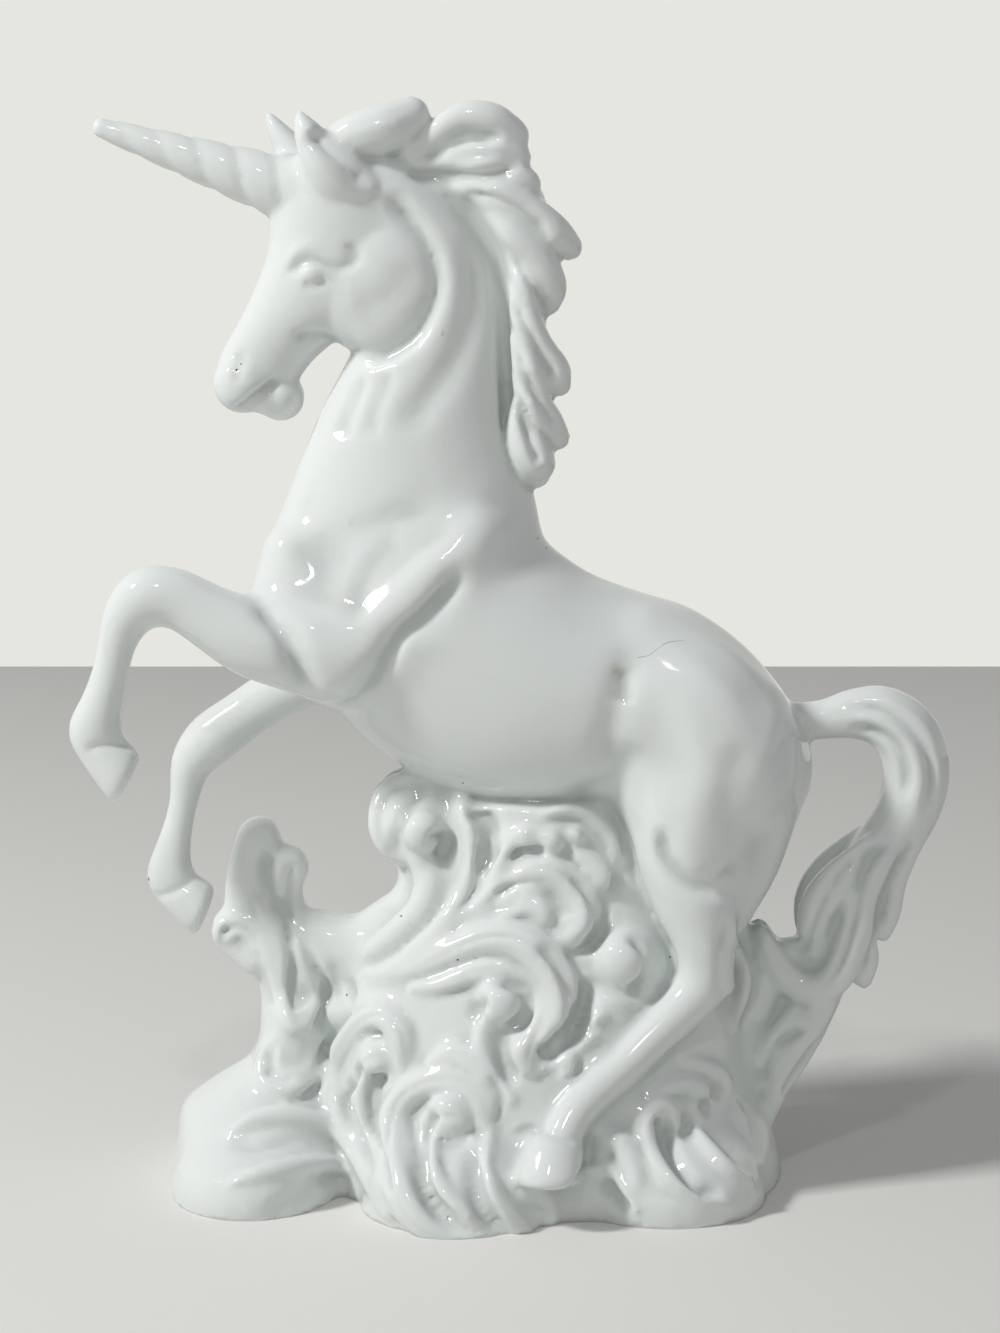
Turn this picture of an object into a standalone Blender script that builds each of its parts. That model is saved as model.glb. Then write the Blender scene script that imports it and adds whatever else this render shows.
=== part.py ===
# Rearing unicorn figurine in white glazed porcelain, cast in one piece with the waves under it.
# Metres, +Z up. The horse looks along -X, the tail is at +X, and the near side is -Y.
# Outline points are in millimetres, as (x, y, z, radius) rows along each form's middle line.
import math

import bpy
import bmesh
import numpy as np
from mathutils import Vector
from mathutils.bvhtree import BVHTree

# Overall size, and the size in millimetres that the outline points are drawn for
FIGURE_LENGTH = 0.1743
FIGURE_DEPTH = 0.0823
FIGURE_HEIGHT = 0.2170
DRAWN_LENGTH = 174.3
DRAWN_DEPTH = 82.3
DRAWN_HEIGHT = 217.0

# Horn
HORN_LENGTH = 0.0375
HORN_RADIUS = 0.0062
HORN_TIP_RADIUS = 0.0019
HORN_ROOT_SINK = 0.0050
HORN_TWIST_LENGTH = 0.0160
HORN_TWIST_START = 0.0068
HORN_GROOVE_DEPTH = 0.0013

# Head and neck
EAR_HALF_DEPTH = 0.0052
EYE_RADIUS = 0.0019
BROW_RADIUS = 0.0015
CHEEK_RADIUS = 0.0125
CHEEK_HALF_WIDTH = 0.0112
HEAD_HALF_WIDTH = 0.0098
MUZZLE_RADIUS = 0.0060
CHIN_RADIUS = 0.0048
NECK_HALF_WIDTH = 0.0125

# Barrel and legs
BARREL_HALF_WIDTH = 0.0212
MUSCLE_RADIUS = 0.0100
FORELEG_RADIUS = 0.0083
THIGH_RADIUS = 0.0165
HOOF_RADIUS = 0.0062

# Mane and tail
MANE_HALF_WIDTH = 0.0060
MANE_LOCK_RADIUS = 0.0036
TAIL_RADIUS = 0.0072
TAIL_STRAND_RADIUS = 0.0034

# Waves
MOUND_HALF_LENGTH = 0.0460
MOUND_HALF_DEPTH = 0.0320
FOOT_LOBE_RADIUS = 0.0190
SWELL_HALF_LENGTH = 0.0195
FINGER_RADIUS = 0.0056
CREST_RADIUS = 0.0095
SCROLL_RADIUS = 0.0037
SCROLL_SINK = 0.10
DRAPE_PASSES = 3

# Underside
FOOT_RECESS = 0.0015
RECESS_MIDDLE = 0.0090
RECESS_HALF_LENGTH = 0.0340
RECESS_HALF_DEPTH = 0.0220
VENT_RADIUS = 0.0030
VENT_DEPTH = 0.0080

# Carved lines
LINE_WIDTH = 0.0016
LINE_DEPTH = 0.0012

# Fillets between the forms, and the surface grid with its thinning
BODY_FILLET = 0.0050
FIGURE_FILLET = 0.0007
BODY_SMOOTHING = 0.0026
SMOOTHING = 0.0010
GRID = 0.0012
FACE_COUNT = 11700

GLAZE_COLOUR = (0.78, 0.80, 0.79, 1.0)
GLAZE_ROUGHNESS = 0.08

UNIT = np.array([FIGURE_LENGTH / DRAWN_LENGTH, FIGURE_DEPTH / DRAWN_DEPTH,
                 FIGURE_HEIGHT / DRAWN_HEIGHT])


# Helpers for points

def placed(rows, size=1.0):
    # Drawn (x, y, z, share) rows as places in metres and radii, which are shares of a size.
    rows = np.array(rows, dtype=float)
    rows[:, :3] *= UNIT
    rows[:, 3:] *= size
    return rows


def flat(rows, size=1.0):
    # Drawn (x, z, share) rows, which are laid on the skin later.
    return placed([(x, 0.0, z, share) for x, z, share in rows], size)


def mirrored(rows, side):
    rows = np.array(rows, dtype=float)
    rows[:, 1] *= side
    return rows


def smooth_rows(rows, steps=5):
    # Catmull-Rom curve through the rows, which hold a place and any other values.
    rows = np.asarray(rows, dtype=float)
    padded = np.vstack([2 * rows[0] - rows[1], rows, 2 * rows[-1] - rows[-2]])
    curve = []
    for index in range(1, len(padded) - 2):
        before, start, end, after = padded[index - 1:index + 3]
        for step in range(steps):
            t = step / steps
            curve.append(0.5 * (2 * start + (end - before) * t
                                + (2 * before - 5 * start + 4 * end - after) * t ** 2
                                + (3 * start - before - 3 * end + after) * t ** 3))
    curve.append(rows[-1])
    return np.array(curve)


def rounded(rows):
    # Adds a domed end at both ends of a stroke.
    def dome(end, inner):
        along = end[:3] - inner[:3]
        along = along / np.linalg.norm(along)
        cap = []
        for angle in (30, 60, 80):
            turn = math.radians(angle)
            place = end[:3] + along * end[3] * math.sin(turn)
            cap.append(np.append(place, end[3] * math.cos(turn)))
        return cap
    start = dome(rows[0], rows[1])[::-1]
    finish = dome(rows[-1], rows[-2])
    return np.vstack([start, rows, finish])


# Helpers for pieces

def curve_piece(name, strokes):
    # Round strokes whose radius changes along the way.
    curve = bpy.data.curves.new(name, "CURVE")
    curve.dimensions = "3D"
    curve.bevel_depth = 1.0
    curve.bevel_resolution = 3
    curve.use_fill_caps = True
    for stroke in strokes:
        rows = rounded(stroke)
        spline = curve.splines.new("POLY")
        spline.points.add(len(rows) - 1)
        for point, row in zip(spline.points, rows):
            point.co = (row[0], row[1], row[2], 1.0)
            point.radius = row[3]
    piece = bpy.data.objects.new(name, curve)
    bpy.context.scene.collection.objects.link(piece)
    return piece


def mesh_piece(name, form):
    mesh = bpy.data.meshes.new(name)
    bmesh.ops.recalc_face_normals(form, faces=form.faces)
    form.to_mesh(mesh)
    form.free()
    piece = bpy.data.objects.new(name, mesh)
    bpy.context.scene.collection.objects.link(piece)
    return piece


def ring_piece(name, rings):
    # A closed skin over rings of equal count, which are unlike sections of one form.
    form = bmesh.new()
    loops = []
    for ring in rings:
        loops.append([form.verts.new(place) for place in ring])
    for lower, upper in zip(loops, loops[1:]):
        count = len(lower)
        for index in range(count):
            after = (index + 1) % count
            form.faces.new((lower[index], lower[after], upper[after], upper[index]))
    form.faces.new(loops[0][::-1])
    form.faces.new(loops[-1])
    return mesh_piece(name, form)


def loft_piece(name, stations, half_width, sides=44):
    # Oval sections, each from a lower to an upper outline point in the XZ plane.
    # A station is (lower x, lower z, upper x, upper z, width as a share, shift in y).
    rings = []
    for low_x, low_z, high_x, high_z, share, shift in smooth_rows(stations, 8):
        middle = np.array([(low_x + high_x) / 2, shift, (low_z + high_z) / 2]) * UNIT
        rise = np.array([(high_x - low_x) / 2, 0, (high_z - low_z) / 2]) * UNIT
        ring = []
        for index in range(sides):
            angle = 2 * math.pi * index / sides
            side = np.array([0, half_width * share * math.sin(angle), 0])
            ring.append(middle + rise * math.cos(angle) + side)
        rings.append(ring)
    return ring_piece(name, rings)


def ball_piece(name, balls):
    # Ovals, each (x, y, z, radius x, radius y, radius z) in metres.
    form = bmesh.new()
    for x, y, z, wide, deep, tall in balls:
        made = bmesh.ops.create_uvsphere(form, u_segments=24, v_segments=16, radius=1.0)
        for vertex in made["verts"]:
            place = vertex.co
            vertex.co = (x + place.x * wide, y + place.y * deep, z + place.z * tall)
    return mesh_piece(name, form)


def to_form(pieces):
    # Joins the pieces, still overlapping, in one bmesh, and removes their objects.
    depsgraph = bpy.context.evaluated_depsgraph_get()
    form = bmesh.new()
    for piece in pieces:
        mesh = bpy.data.meshes.new_from_object(piece.evaluated_get(depsgraph))
        form.from_mesh(mesh)
        bpy.data.meshes.remove(mesh)
    bmesh.ops.remove_doubles(form, verts=form.verts, dist=0.00001)
    for piece in pieces:
        bpy.data.objects.remove(piece)
    return form


def fuse(name, pieces):
    # One closed skin over all the pieces.
    body = mesh_piece(name, to_form(pieces))
    remesh = body.modifiers.new("Skin", "REMESH")
    remesh.mode = "VOXEL"
    remesh.voxel_size = GRID
    remesh.use_smooth_shade = True
    depsgraph = bpy.context.evaluated_depsgraph_get()
    mesh = bpy.data.meshes.new_from_object(body.evaluated_get(depsgraph))
    body.modifiers.clear()
    body.data = mesh
    return body


def places_of(mesh):
    places = np.empty(len(mesh.vertices) * 3)
    mesh.vertices.foreach_get("co", places)
    return places.reshape(-1, 3)


def normals_of(mesh):
    normals = np.empty(len(mesh.vertices) * 3)
    mesh.vertex_normals.foreach_get("vector", normals)
    return normals.reshape(-1, 3)


def set_places(mesh, places):
    mesh.vertices.foreach_set("co", places.ravel())
    mesh.update()


def soften(body, reach, fill_only):
    # Moves each vertex toward its neighbours' mean; fill_only lets only hollows move, outward.
    passes = round(2.2 * (reach / GRID) ** 2)
    mesh = body.data
    edges = np.empty(len(mesh.edges) * 2, dtype=np.int64)
    mesh.edges.foreach_get("vertices", edges)
    first, second = edges.reshape(-1, 2).T
    count = len(mesh.vertices)
    links = np.bincount(first, minlength=count) + np.bincount(second, minlength=count)
    places = places_of(mesh)
    normals = normals_of(mesh)
    for step in range(passes):
        mean = np.empty_like(places)
        for axis in range(3):
            column = places[:, axis]
            mean[:, axis] = (np.bincount(first, column[second], count)
                             + np.bincount(second, column[first], count)) / links
        shift = (mean - places) * 0.5
        if fill_only:
            lift = np.maximum((shift * normals).sum(axis=1), 0)
            shift = normals * lift[:, None]
        places = places + shift
        if fill_only and step % 8 == 7:
            set_places(mesh, places)
            normals = normals_of(mesh)
    set_places(mesh, places)


def drape(rows, skin, side, sink=0.0):
    # Lays rows of (x, any y, z, radius) on the skin, seen from the near (-1) or far (+1) side.
    laid = []
    for x, _, z, radius in rows:
        hit = skin.ray_cast(Vector((x, side * 0.2, z)), Vector((0, -side, 0)))[0]
        if hit is not None:
            laid.append((x, hit.y - side * radius * sink, z, radius))
    laid = np.array(laid)
    for step in range(DRAPE_PASSES if len(laid) > 2 else 0):
        laid[1:-1, 1] = (laid[:-2, 1] + 2 * laid[1:-1, 1] + laid[2:, 1]) / 4
    return laid


def carve(places, normals, rows, depth, width):
    # Presses a round-edged line into the skin along the rows; a negative depth raises it.
    line = rows[:, :3]
    low = line.min(axis=0) - 2 * width
    high = line.max(axis=0) + 2 * width
    near = np.where(np.all((places > low) & (places < high), axis=1))[0]
    if len(near) == 0:
        return
    starts, ends = line[:-1], line[1:]
    spans = ends - starts
    lengths = np.maximum((spans ** 2).sum(axis=1), 1e-12)
    gaps = places[near][:, None, :] - starts[None, :, :]
    shares = np.clip((gaps * spans[None, :, :]).sum(axis=2) / lengths, 0, 1)
    distance = np.linalg.norm(gaps - shares[:, :, None] * spans[None, :, :], axis=2)
    nearest = distance.argmin(axis=1)
    picks = np.arange(len(near))
    along = (nearest + shares[picks, nearest]) / len(spans)
    ends_fade = np.clip(np.minimum(along, 1 - along) * 6, 0, 1)
    press = np.exp(-(distance.min(axis=1) / width) ** 2) * depth * ends_fade
    places[near] -= normals[near] * press[:, None]


# The horse

def barrel():
    return loft_piece("barrel", [
        (-46, 112, -44, 126, 0.36, 0),
        (-42, 103, -35, 134, 0.68, 0),
        (-34, 98, -22, 140, 0.86, 0),
        (-25, 88.5, -5, 137, 0.95, 0),
        (-13, 81, 8, 130.5, 1.00, 0),
        (-3, 78, 17.5, 124, 1.02, 0),
        (9, 77, 28, 120, 1.00, 0),
        (21, 78, 38, 116.8, 0.98, 0),
        (31, 76, 48.5, 109.5, 0.98, 0),
        (40, 72, 57, 99.5, 0.90, 0),
        (49, 67, 62.5, 88, 0.62, 0),
        (56, 71, 62.5, 80, 0.28, 0)], BARREL_HALF_WIDTH)


def neck():
    return loft_piece("neck", [
        (-44, 112, 8, 118, 1.32, 0),
        (-48, 125, 8, 133, 1.30, 0),
        (-43.5, 137, 6.5, 141, 1.18, 0),
        (-39.5, 147, 4, 150, 1.06, 0),
        (-35.5, 156.5, 2, 160, 0.98, 0),
        (-31, 165, 1.3, 173, 0.88, 0),
        (-27, 174, -0.8, 185, 0.78, 0),
        (-27, 186, -5.8, 194, 0.72, 0),
        (-31, 195, -13, 201, 0.68, 0),
        (-33, 202, -21, 207.5, 0.56, 0)], NECK_HALF_WIDTH)


def skull():
    return loft_piece("skull", [
        (-23, 204, -34, 210.0, 0.45, 0),
        (-19, 199, -41.5, 205, 0.80, 0),
        (-17.5, 192, -45.0, 197, 0.94, 0),
        (-17, 184, -45.8, 188, 1.00, 0),
        (-22, 175, -48.4, 180.5, 0.93, 0),
        (-31, 170.5, -51.4, 174.5, 0.78, 0),
        (-37, 165.5, -54.8, 168.6, 0.66, 0),
        (-40, 161, -56.6, 164.5, 0.60, 0),
        (-42, 157, -55.8, 159.8, 0.54, 0)], HEAD_HALF_WIDTH)


def oval(centre, radius, flatness, tall=1.0):
    # A ball whose middle is a drawn point; flatness is its depth as a share of its radius.
    x, y, z = np.array(centre) * UNIT
    return x, y, z, radius, radius * flatness, radius * tall


def face():
    # Cheeks, muzzle, chin and eyes.
    balls = [oval((-43.4, 0, 158.8), CHIN_RADIUS, 1.1), oval((-46.8, 0, 159.4), CHIN_RADIUS * 0.85, 1.2)]
    cheek_depth = CHEEK_HALF_WIDTH / CHEEK_RADIUS - 0.2
    for side in (-1, 1):
        balls.append(oval((-25.8, side * 2.5, 180.4), CHEEK_RADIUS, cheek_depth, 1.02))
        balls.append(oval((-50.6, side * 2.4, 161.6), MUZZLE_RADIUS, 0.80))
        balls.append(oval((-36.2, side * 8.7, 183.6), EYE_RADIUS * 1.3, 0.55, 0.66))
    return ball_piece("face", balls)


def brows():
    strokes = []
    for side in (-1, 1):
        strokes.append(smooth_rows(mirrored(placed([
            (-41.5, 6.8, 184.5, 0.7), (-39.0, 7.8, 187.2, 1.0), (-35.0, 8.3, 188.4, 1.1),
            (-31.0, 8.6, 187.8, 1.0), (-28.0, 8.4, 190.0, 0.8)], BROW_RADIUS), side)))
    return curve_piece("brows", strokes)


def ears():
    # The near ear leans forward, the far one shows its tip behind the horn.
    near = loft_piece("near ear", [
        (-36.5, 196.0, -22.5, 197.0, 0.80, -4.6),
        (-37.6, 200.0, -23.0, 200.2, 0.95, -6.2),
        (-38.8, 204.4, -26.0, 204.4, 1.00, -7.2),
        (-39.7, 209.0, -32.3, 209.4, 0.70, -7.6),
        (-39.8, 212.0, -35.8, 212.4, 0.42, -7.6),
        (-39.4, 214.2, -38.4, 214.4, 0.14, -7.6)], EAR_HALF_DEPTH)
    far = loft_piece("far ear", [
        (-41.0, 199.0, -28.0, 201.5, 0.90, 5.0),
        (-43.6, 203.6, -34.0, 205.4, 0.85, 5.8),
        (-45.4, 208.6, -39.6, 209.8, 0.62, 6.4),
        (-46.4, 212.2, -43.2, 212.8, 0.38, 6.8),
        (-46.4, 214.2, -45.4, 214.6, 0.14, 7.0)], EAR_HALF_DEPTH)
    return [near, far]


def horn():
    # A tapering cone with two grooves that wind around it.
    forehead = np.array([-44.0, 0, 200.1]) * UNIT
    along = np.array([-0.951, 0, 0.309])
    across = np.array([0, 1.0, 0])
    upward = np.cross(along, across)
    sides, count = 36, 70
    rings = []
    for step in range(count + 1):
        reach = -HORN_ROOT_SINK + (HORN_LENGTH + HORN_ROOT_SINK) * step / count
        share = reach / HORN_LENGTH
        radius = HORN_RADIUS + (HORN_TIP_RADIUS - HORN_RADIUS) * share
        if share > 0.97:
            radius *= math.sqrt(max(1 - ((share - 0.97) / 0.03) ** 2, 0.02))
        ring = []
        for index in range(sides):
            angle = 2 * math.pi * index / sides
            phase = angle - 2 * math.pi * (reach - HORN_TWIST_START) / HORN_TWIST_LENGTH
            groove = HORN_GROOVE_DEPTH * (1 - abs(math.sin(phase))) ** 2 * radius / HORN_RADIUS
            turn = across * math.cos(angle) + upward * math.sin(angle)
            ring.append(forehead + along * reach + turn * (radius - groove))
        rings.append(ring)
    return ring_piece("horn", rings)


def hoof(name, top, heading, sole, facing, width=1.0):
    # A wall between the coronet and the sole, which need not be parallel.
    top, sole = np.array(top) * UNIT, np.array(sole) * UNIT
    heading, facing = np.array(heading, dtype=float), np.array(facing, dtype=float)
    rings = []
    for share, size in ((0.0, 0.74), (0.35, 0.84), (0.90, 1.0), (1.0, 0.93)):
        normal = heading + (facing - heading) * share
        normal = normal / np.linalg.norm(normal)
        across = np.cross(normal, (0.35, 1.0, 0.35))
        across = across / np.linalg.norm(across)
        upward = np.cross(normal, across)
        ring = []
        for index in range(24):
            angle = 2 * math.pi * index / 24
            turn = across * math.cos(angle) + upward * math.sin(angle)
            ring.append(top + (sole - top) * share + turn * HOOF_RADIUS * size * width)
        rings.append(ring)
    return ring_piece(name, rings)


def near_foreleg():
    leg = placed([
        (-30.5, -11.6, 109.5, 1.45), (-40, -14.0, 111.2, 1.17), (-48.7, -15.0, 113, 1.0),
        (-56.8, -15.5, 117.2, 0.81), (-63.5, -15.5, 121, 0.74), (-69.0, -15.5, 121.0, 0.75),
        (-73.0, -15.5, 116.4, 0.62), (-75.0, -15.5, 110.8, 0.49), (-76.4, -15.5, 104.7, 0.50),
        (-78.2, -15.5, 98.9, 0.58), (-79.6, -15.5, 94.6, 0.67), (-79.0, -15.5, 91.4, 0.58)],
        FORELEG_RADIUS)
    return [curve_piece("near foreleg", [smooth_rows(leg)]),
            hoof("near fore hoof", (-79.6, -15.5, 92.6), (0.45, 0, -0.89), (-72.6, -15.5, 84.4),
                 (0.89, 0, -0.46))]


def far_foreleg():
    leg = placed([
        (-32, 9.6, 105, 0.95), (-43.5, 11.0, 99, 0.74), (-52.1, 12, 93.4, 0.68),
        (-59.4, 12, 87.9, 0.72), (-63.6, 12, 82.8, 0.57), (-64.8, 12, 76.5, 0.43),
        (-66.3, 12, 70.2, 0.42), (-67.7, 12, 64.2, 0.52), (-68.4, 12, 59.8, 0.63),
        (-67.6, 12, 57.2, 0.56)], FORELEG_RADIUS)
    return [curve_piece("far foreleg", [smooth_rows(leg)]),
            hoof("far fore hoof", (-68.4, 12, 58.2), (0.50, 0, -0.86), (-60.6, 12, 51.6),
                 (0.93, 0, -0.36))]


def near_hind_leg():
    leg = placed([
        (43.6, -8.0, 90.5, 1.0), (39.0, -10.9, 80, 0.84), (37.4, -13.0, 70.3, 0.70),
        (38.6, -14.7, 60.8, 0.56), (40.4, -16.3, 51.8, 0.40), (40.0, -17.2, 44.6, 0.345),
        (35.0, -19.2, 39.0, 0.30), (29.5, -21.8, 34.2, 0.265), (24.0, -24.2, 29.3, 0.26),
        (17.5, -27.2, 24.4, 0.26), (13.6, -29.6, 20.4, 0.26), (11.8, -31.2, 17.4, 0.25)],
        THIGH_RADIUS)
    heel = placed([(41.0, -17.0, 46.2, 0.25), (44.4, -17.4, 43.4, 0.16)], THIGH_RADIUS)
    back = placed([(50, -6.5, 78, 0.62), (48.2, -8.5, 67, 0.48), (44.5, -12, 57, 0.34)], THIGH_RADIUS)
    return [curve_piece("near hind leg", [smooth_rows(leg), heel, smooth_rows(back)]),
            hoof("near hind hoof", (10.8, -31.6, 16.6), (-0.20, -0.30, -0.93), (9.4, -35.0, 8.6),
                 (0.02, -0.10, -0.99), 1.24)]


def far_hind_leg():
    leg = placed([
        (45, 7.8, 88, 0.96), (44.5, 10.2, 76, 0.79), (44.5, 12.6, 64, 0.56),
        (46.0, 14.4, 53, 0.40), (46.0, 15.6, 44.5, 0.34), (41, 16.8, 38.5, 0.29),
        (33, 19.4, 31.5, 0.25), (26, 23.4, 24.5, 0.25), (20, 27.0, 19.5, 0.32),
        (17.4, 29.0, 16.6, 0.32)], THIGH_RADIUS)
    return [curve_piece("far hind leg", [smooth_rows(leg)]),
            hoof("far hind hoof", (17.2, 29.4, 17.0), (-0.20, 0.30, -0.93), (16.2, 32.0, 8.0),
                 (0.02, 0.10, -0.99), 1.12)]


def muscles():
    # Shoulder blades, breast and haunches, which stand out from the barrel.
    strokes = []
    for side in (-1, 1):
        depth = 15.0 if side < 0 else 12.5
        for rows in ([(-4.5, 0.70, 132, 0.75), (-14, 0.80, 122, 0.95), (-25, 0.80, 111, 1.10)],
                     [(-40.5, 0.45, 128, 0.72), (-40, 0.50, 118, 0.95), (-35, 0.55, 110, 0.92)],
                     [(28, 0.45, 108, 1.10), (38.5, 0.56, 98, 1.50), (44, 0.58, 86, 1.58)],
                     [(31, 0.62, 90, 1.05), (33, 0.66, 80, 1.05)]):
            rows = [(x, y * depth * side, z, share) for x, y, z, share in rows]
            strokes.append(smooth_rows(placed(rows, MUSCLE_RADIUS)))
    return curve_piece("muscles", strokes)


# The mane and the tail

def mane_core():
    # A thin crest from the forehead to the withers.
    return loft_piece("mane core", [
        (-29, 205, -31, 210.5, 0.40, 0),
        (-21.5, 204, -22, 213.2, 0.75, 0),
        (-15, 199.0, -13, 212.5, 1.00, 0),
        (-8.5, 193, 0, 211, 1.05, 0),
        (-2.5, 184, 9, 197, 1.00, 0),
        (-1.0, 175, 10, 183, 0.95, 0),
        (-0.5, 165, 9, 172, 0.88, 0),
        (0.5, 156, 10.5, 161, 0.82, 0),
        (2, 148, 9.8, 151, 0.70, 0),
        (4, 142, 7, 144, 0.48, 0)], MANE_HALF_WIDTH)


# Locks are (x, z, radius share, height over the crest's middle as a share).
MANE_LOCKS = [
    [(-33.5, 207.6, 0.9, 1.0), (-28.4, 209.4, 1.25, 1.3), (-22.6, 211.0, 1.38, 1.3),
     (-17.6, 213.4, 1.1, 1.0)],
    [(-15.4, 207.4, 0.5, 1.0), (-11.6, 210.6, 0.75, 1.1), (-7, 213.0, 0.9, 1.0),
     (-2.0, 212.6, 1.0, 0.9), (2.2, 209.6, 1.0, 0.5)],
    [(-13.4, 205.8, 0.5, 1.2), (-7.0, 207.8, 0.6, 1.3), (-1.6, 207.4, 0.7, 1.2),
     (3.2, 205.6, 0.8, 0.7)],
    [(-10.0, 203.6, 0.5, 1.1), (-4.4, 203.0, 0.8, 1.3), (0.6, 202.8, 0.85, 1.1),
     (5.0, 200.4, 0.85, 0.8)],
    [(-7.6, 200.4, 0.6, 1.1), (-1.4, 198.4, 0.95, 1.3), (4.4, 195.6, 1.0, 1.2),
     (10.0, 191.2, 1.05, 0.9), (13.4, 188.2, 0.8, 0.3)],
    [(-0.8, 194.4, 0.6, 1.2), (2.6, 190.6, 0.85, 1.4), (7.0, 186.4, 0.95, 1.2),
     (9.6, 180.8, 1.0, 0.8), (9.4, 177.4, 0.75, 0.5)],
    [(3.0, 186.4, 0.5, 1.3), (5.2, 181.4, 0.75, 1.5), (7.2, 177.2, 0.7, 1.1)],
    [(3.2, 180.0, 0.5, 1.3), (4.8, 174.4, 0.85, 1.5), (7.6, 168.4, 0.9, 1.2),
     (10.6, 164.0, 0.95, 0.8), (11.8, 161.2, 0.65, 0.4)],
    [(3.4, 170.6, 0.5, 1.3), (5.4, 165.0, 0.9, 1.5), (8.0, 160.8, 0.7, 1.1)],
    [(3.6, 163.4, 0.5, 1.3), (6.0, 158.4, 0.85, 1.5), (8.9, 154.6, 0.9, 1.0),
     (11.2, 151.0, 0.75, 0.6)],
    [(3.4, 158.0, 0.45, 1.4), (3.6, 153.0, 0.75, 1.5), (5.0, 149.2, 1.15, 1.4),
     (6.6, 146.0, 1.25, 1.1), (7.0, 144.0, 0.9, 0.6)]]


def mane_locks():
    # Drops of hair that stand out from both faces of the crest.
    strokes = []
    for side in (-1, 1):
        for lock in MANE_LOCKS:
            rows = placed([(x, 0, z, share) for x, z, share, lift in lock], MANE_LOCK_RADIUS)
            rows[:, 1] = [side * MANE_HALF_WIDTH * 0.62 * lift for x, z, share, lift in lock]
            strokes.append(smooth_rows(rows))
    return curve_piece("mane locks", strokes)


TAIL_LINE = [
    (59, 0, 93.6, 0.57), (65, 0, 94.2, 0.58), (71, 0, 95.3, 0.74), (77, 0, 94.6, 0.90),
    (82, 0, 90.0, 0.98), (83.6, 0, 82, 0.95), (81.3, 0, 74, 0.90), (76, 0, 66.2, 0.86),
    (70.5, 0, 58.5, 0.76), (67.6, 0, 51, 0.72), (64.6, 0, 44.5, 0.68), (60.5, 0, 36, 0.64),
    (56.6, 0, 27, 0.58), (53.2, 0, 18, 0.56), (50.0, 0, 10, 0.56)]
TAIL_STRANDS = [
    [(83.4, 2.0, 72, 0.9), (80.4, 3.0, 66.8, 1.0), (78.4, 3.2, 61.4, 1.0), (77.8, 2.8, 55.1, 0.9),
     (77.4, 2.0, 50.4, 0.5)],
    [(80.0, 4.2, 72, 0.6), (76.2, 5.4, 66.4, 0.9), (72.8, 6.0, 60.4, 0.95), (71.8, 6.0, 53.2, 1.0),
     (73.2, 4.6, 46.2, 0.95), (73.4, 3.2, 41.4, 0.6)],
    [(74.0, 5.0, 70.4, 0.5), (69.6, 5.6, 65.5, 0.9), (66.2, 5.4, 61.4, 1.1), (63.6, 4.6, 56.8, 1.1),
     (62.8, 3.4, 51.6, 0.9), (64.0, 2.4, 47.4, 0.6)],
    [(71.4, 6.4, 58.0, 0.5), (70.6, 6.8, 50.9, 0.9), (68.4, 6.8, 44.0, 1.0),
     (64.4, 5.8, 40.4, 1.0), (59.6, 4.4, 41.0, 0.95), (55.6, 3.2, 45.0, 0.9),
     (52.6, 2.2, 51.0, 0.6)],
    [(60.4, 4.6, 36.4, 0.4), (56.4, 5.4, 30.8, 0.65), (54.0, 5.6, 25.6, 0.65),
     (53.4, 5.2, 20.2, 0.4)],
    [(67.4, 4.6, 40.4, 0.6), (63.4, 5.2, 34.0, 0.9), (59.6, 5.4, 28.6, 0.95),
     (56.8, 5.0, 23.0, 0.9), (55.0, 4.4, 16.6, 0.75), (53.6, 3.6, 11.4, 0.5)],
    [(69.6, 2.6, 43.6, 0.6), (66.0, 3.2, 37.0, 0.8), (62.6, 3.4, 30.0, 0.85),
     (59.6, 3.4, 23.6, 0.7), (57.6, 3.0, 18.6, 0.4)]]


def tail():
    # A main rope of hair in a loop, with strands over it on both faces.
    strokes = [smooth_rows(placed(TAIL_LINE, TAIL_RADIUS))]
    for side in (1, -1):
        for strand in TAIL_STRANDS:
            strokes.append(smooth_rows(mirrored(placed(strand, TAIL_STRAND_RADIUS), side)))
    return curve_piece("tail", strokes)


# The waves

def mound():
    # Flat ovals stacked from the table to the belly.
    rings = []
    for shift, z, length, share in smooth_rows([
            (9, -4, 1.0, 0.97), (9, 4, 1.0, 1.0), (8.5, 12, 0.98, 0.96), (8, 24, 0.93, 0.86),
            (7, 37, 0.89, 0.75), (7, 48, 0.78, 0.65), (8, 57, 0.67, 0.57),
            (8, 67, 0.54, 0.49), (7, 79, 0.46, 0.43)], 3):
        middle = np.array([shift, 0, z]) * UNIT
        ring = []
        for index in range(48):
            angle = 2 * math.pi * index / 48
            ring.append(middle + np.array([MOUND_HALF_LENGTH * length * math.cos(angle),
                                           MOUND_HALF_DEPTH * share * math.sin(angle), 0]))
        rings.append(ring)
    return ring_piece("mound", rings)


def left_swell():
    # The wave's long run-out, which rises from the table to the finger.
    rings = []
    for shift, z, length, share in smooth_rows([
            (-48.4, -4, 0.94, 0.93), (-48.4, 3, 0.955, 0.93), (-48.0, 9, 0.92, 0.76),
            (-47.6, 14.5, 0.90, 0.58), (-46.5, 18.0, 0.77, 0.46), (-44.5, 21.5, 0.60, 0.38),
            (-42.5, 25.5, 0.42, 0.32), (-41.8, 36, 0.28, 0.28)], 4):
        middle = np.array([shift, 0, z]) * UNIT
        ring = []
        for index in range(48):
            angle = 2 * math.pi * index / 48
            ring.append(middle + np.array([SWELL_HALF_LENGTH * length * math.cos(angle),
                                           MOUND_HALF_DEPTH * share * math.sin(angle), 0]))
        rings.append(ring)
    return ring_piece("left swell", rings)


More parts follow.
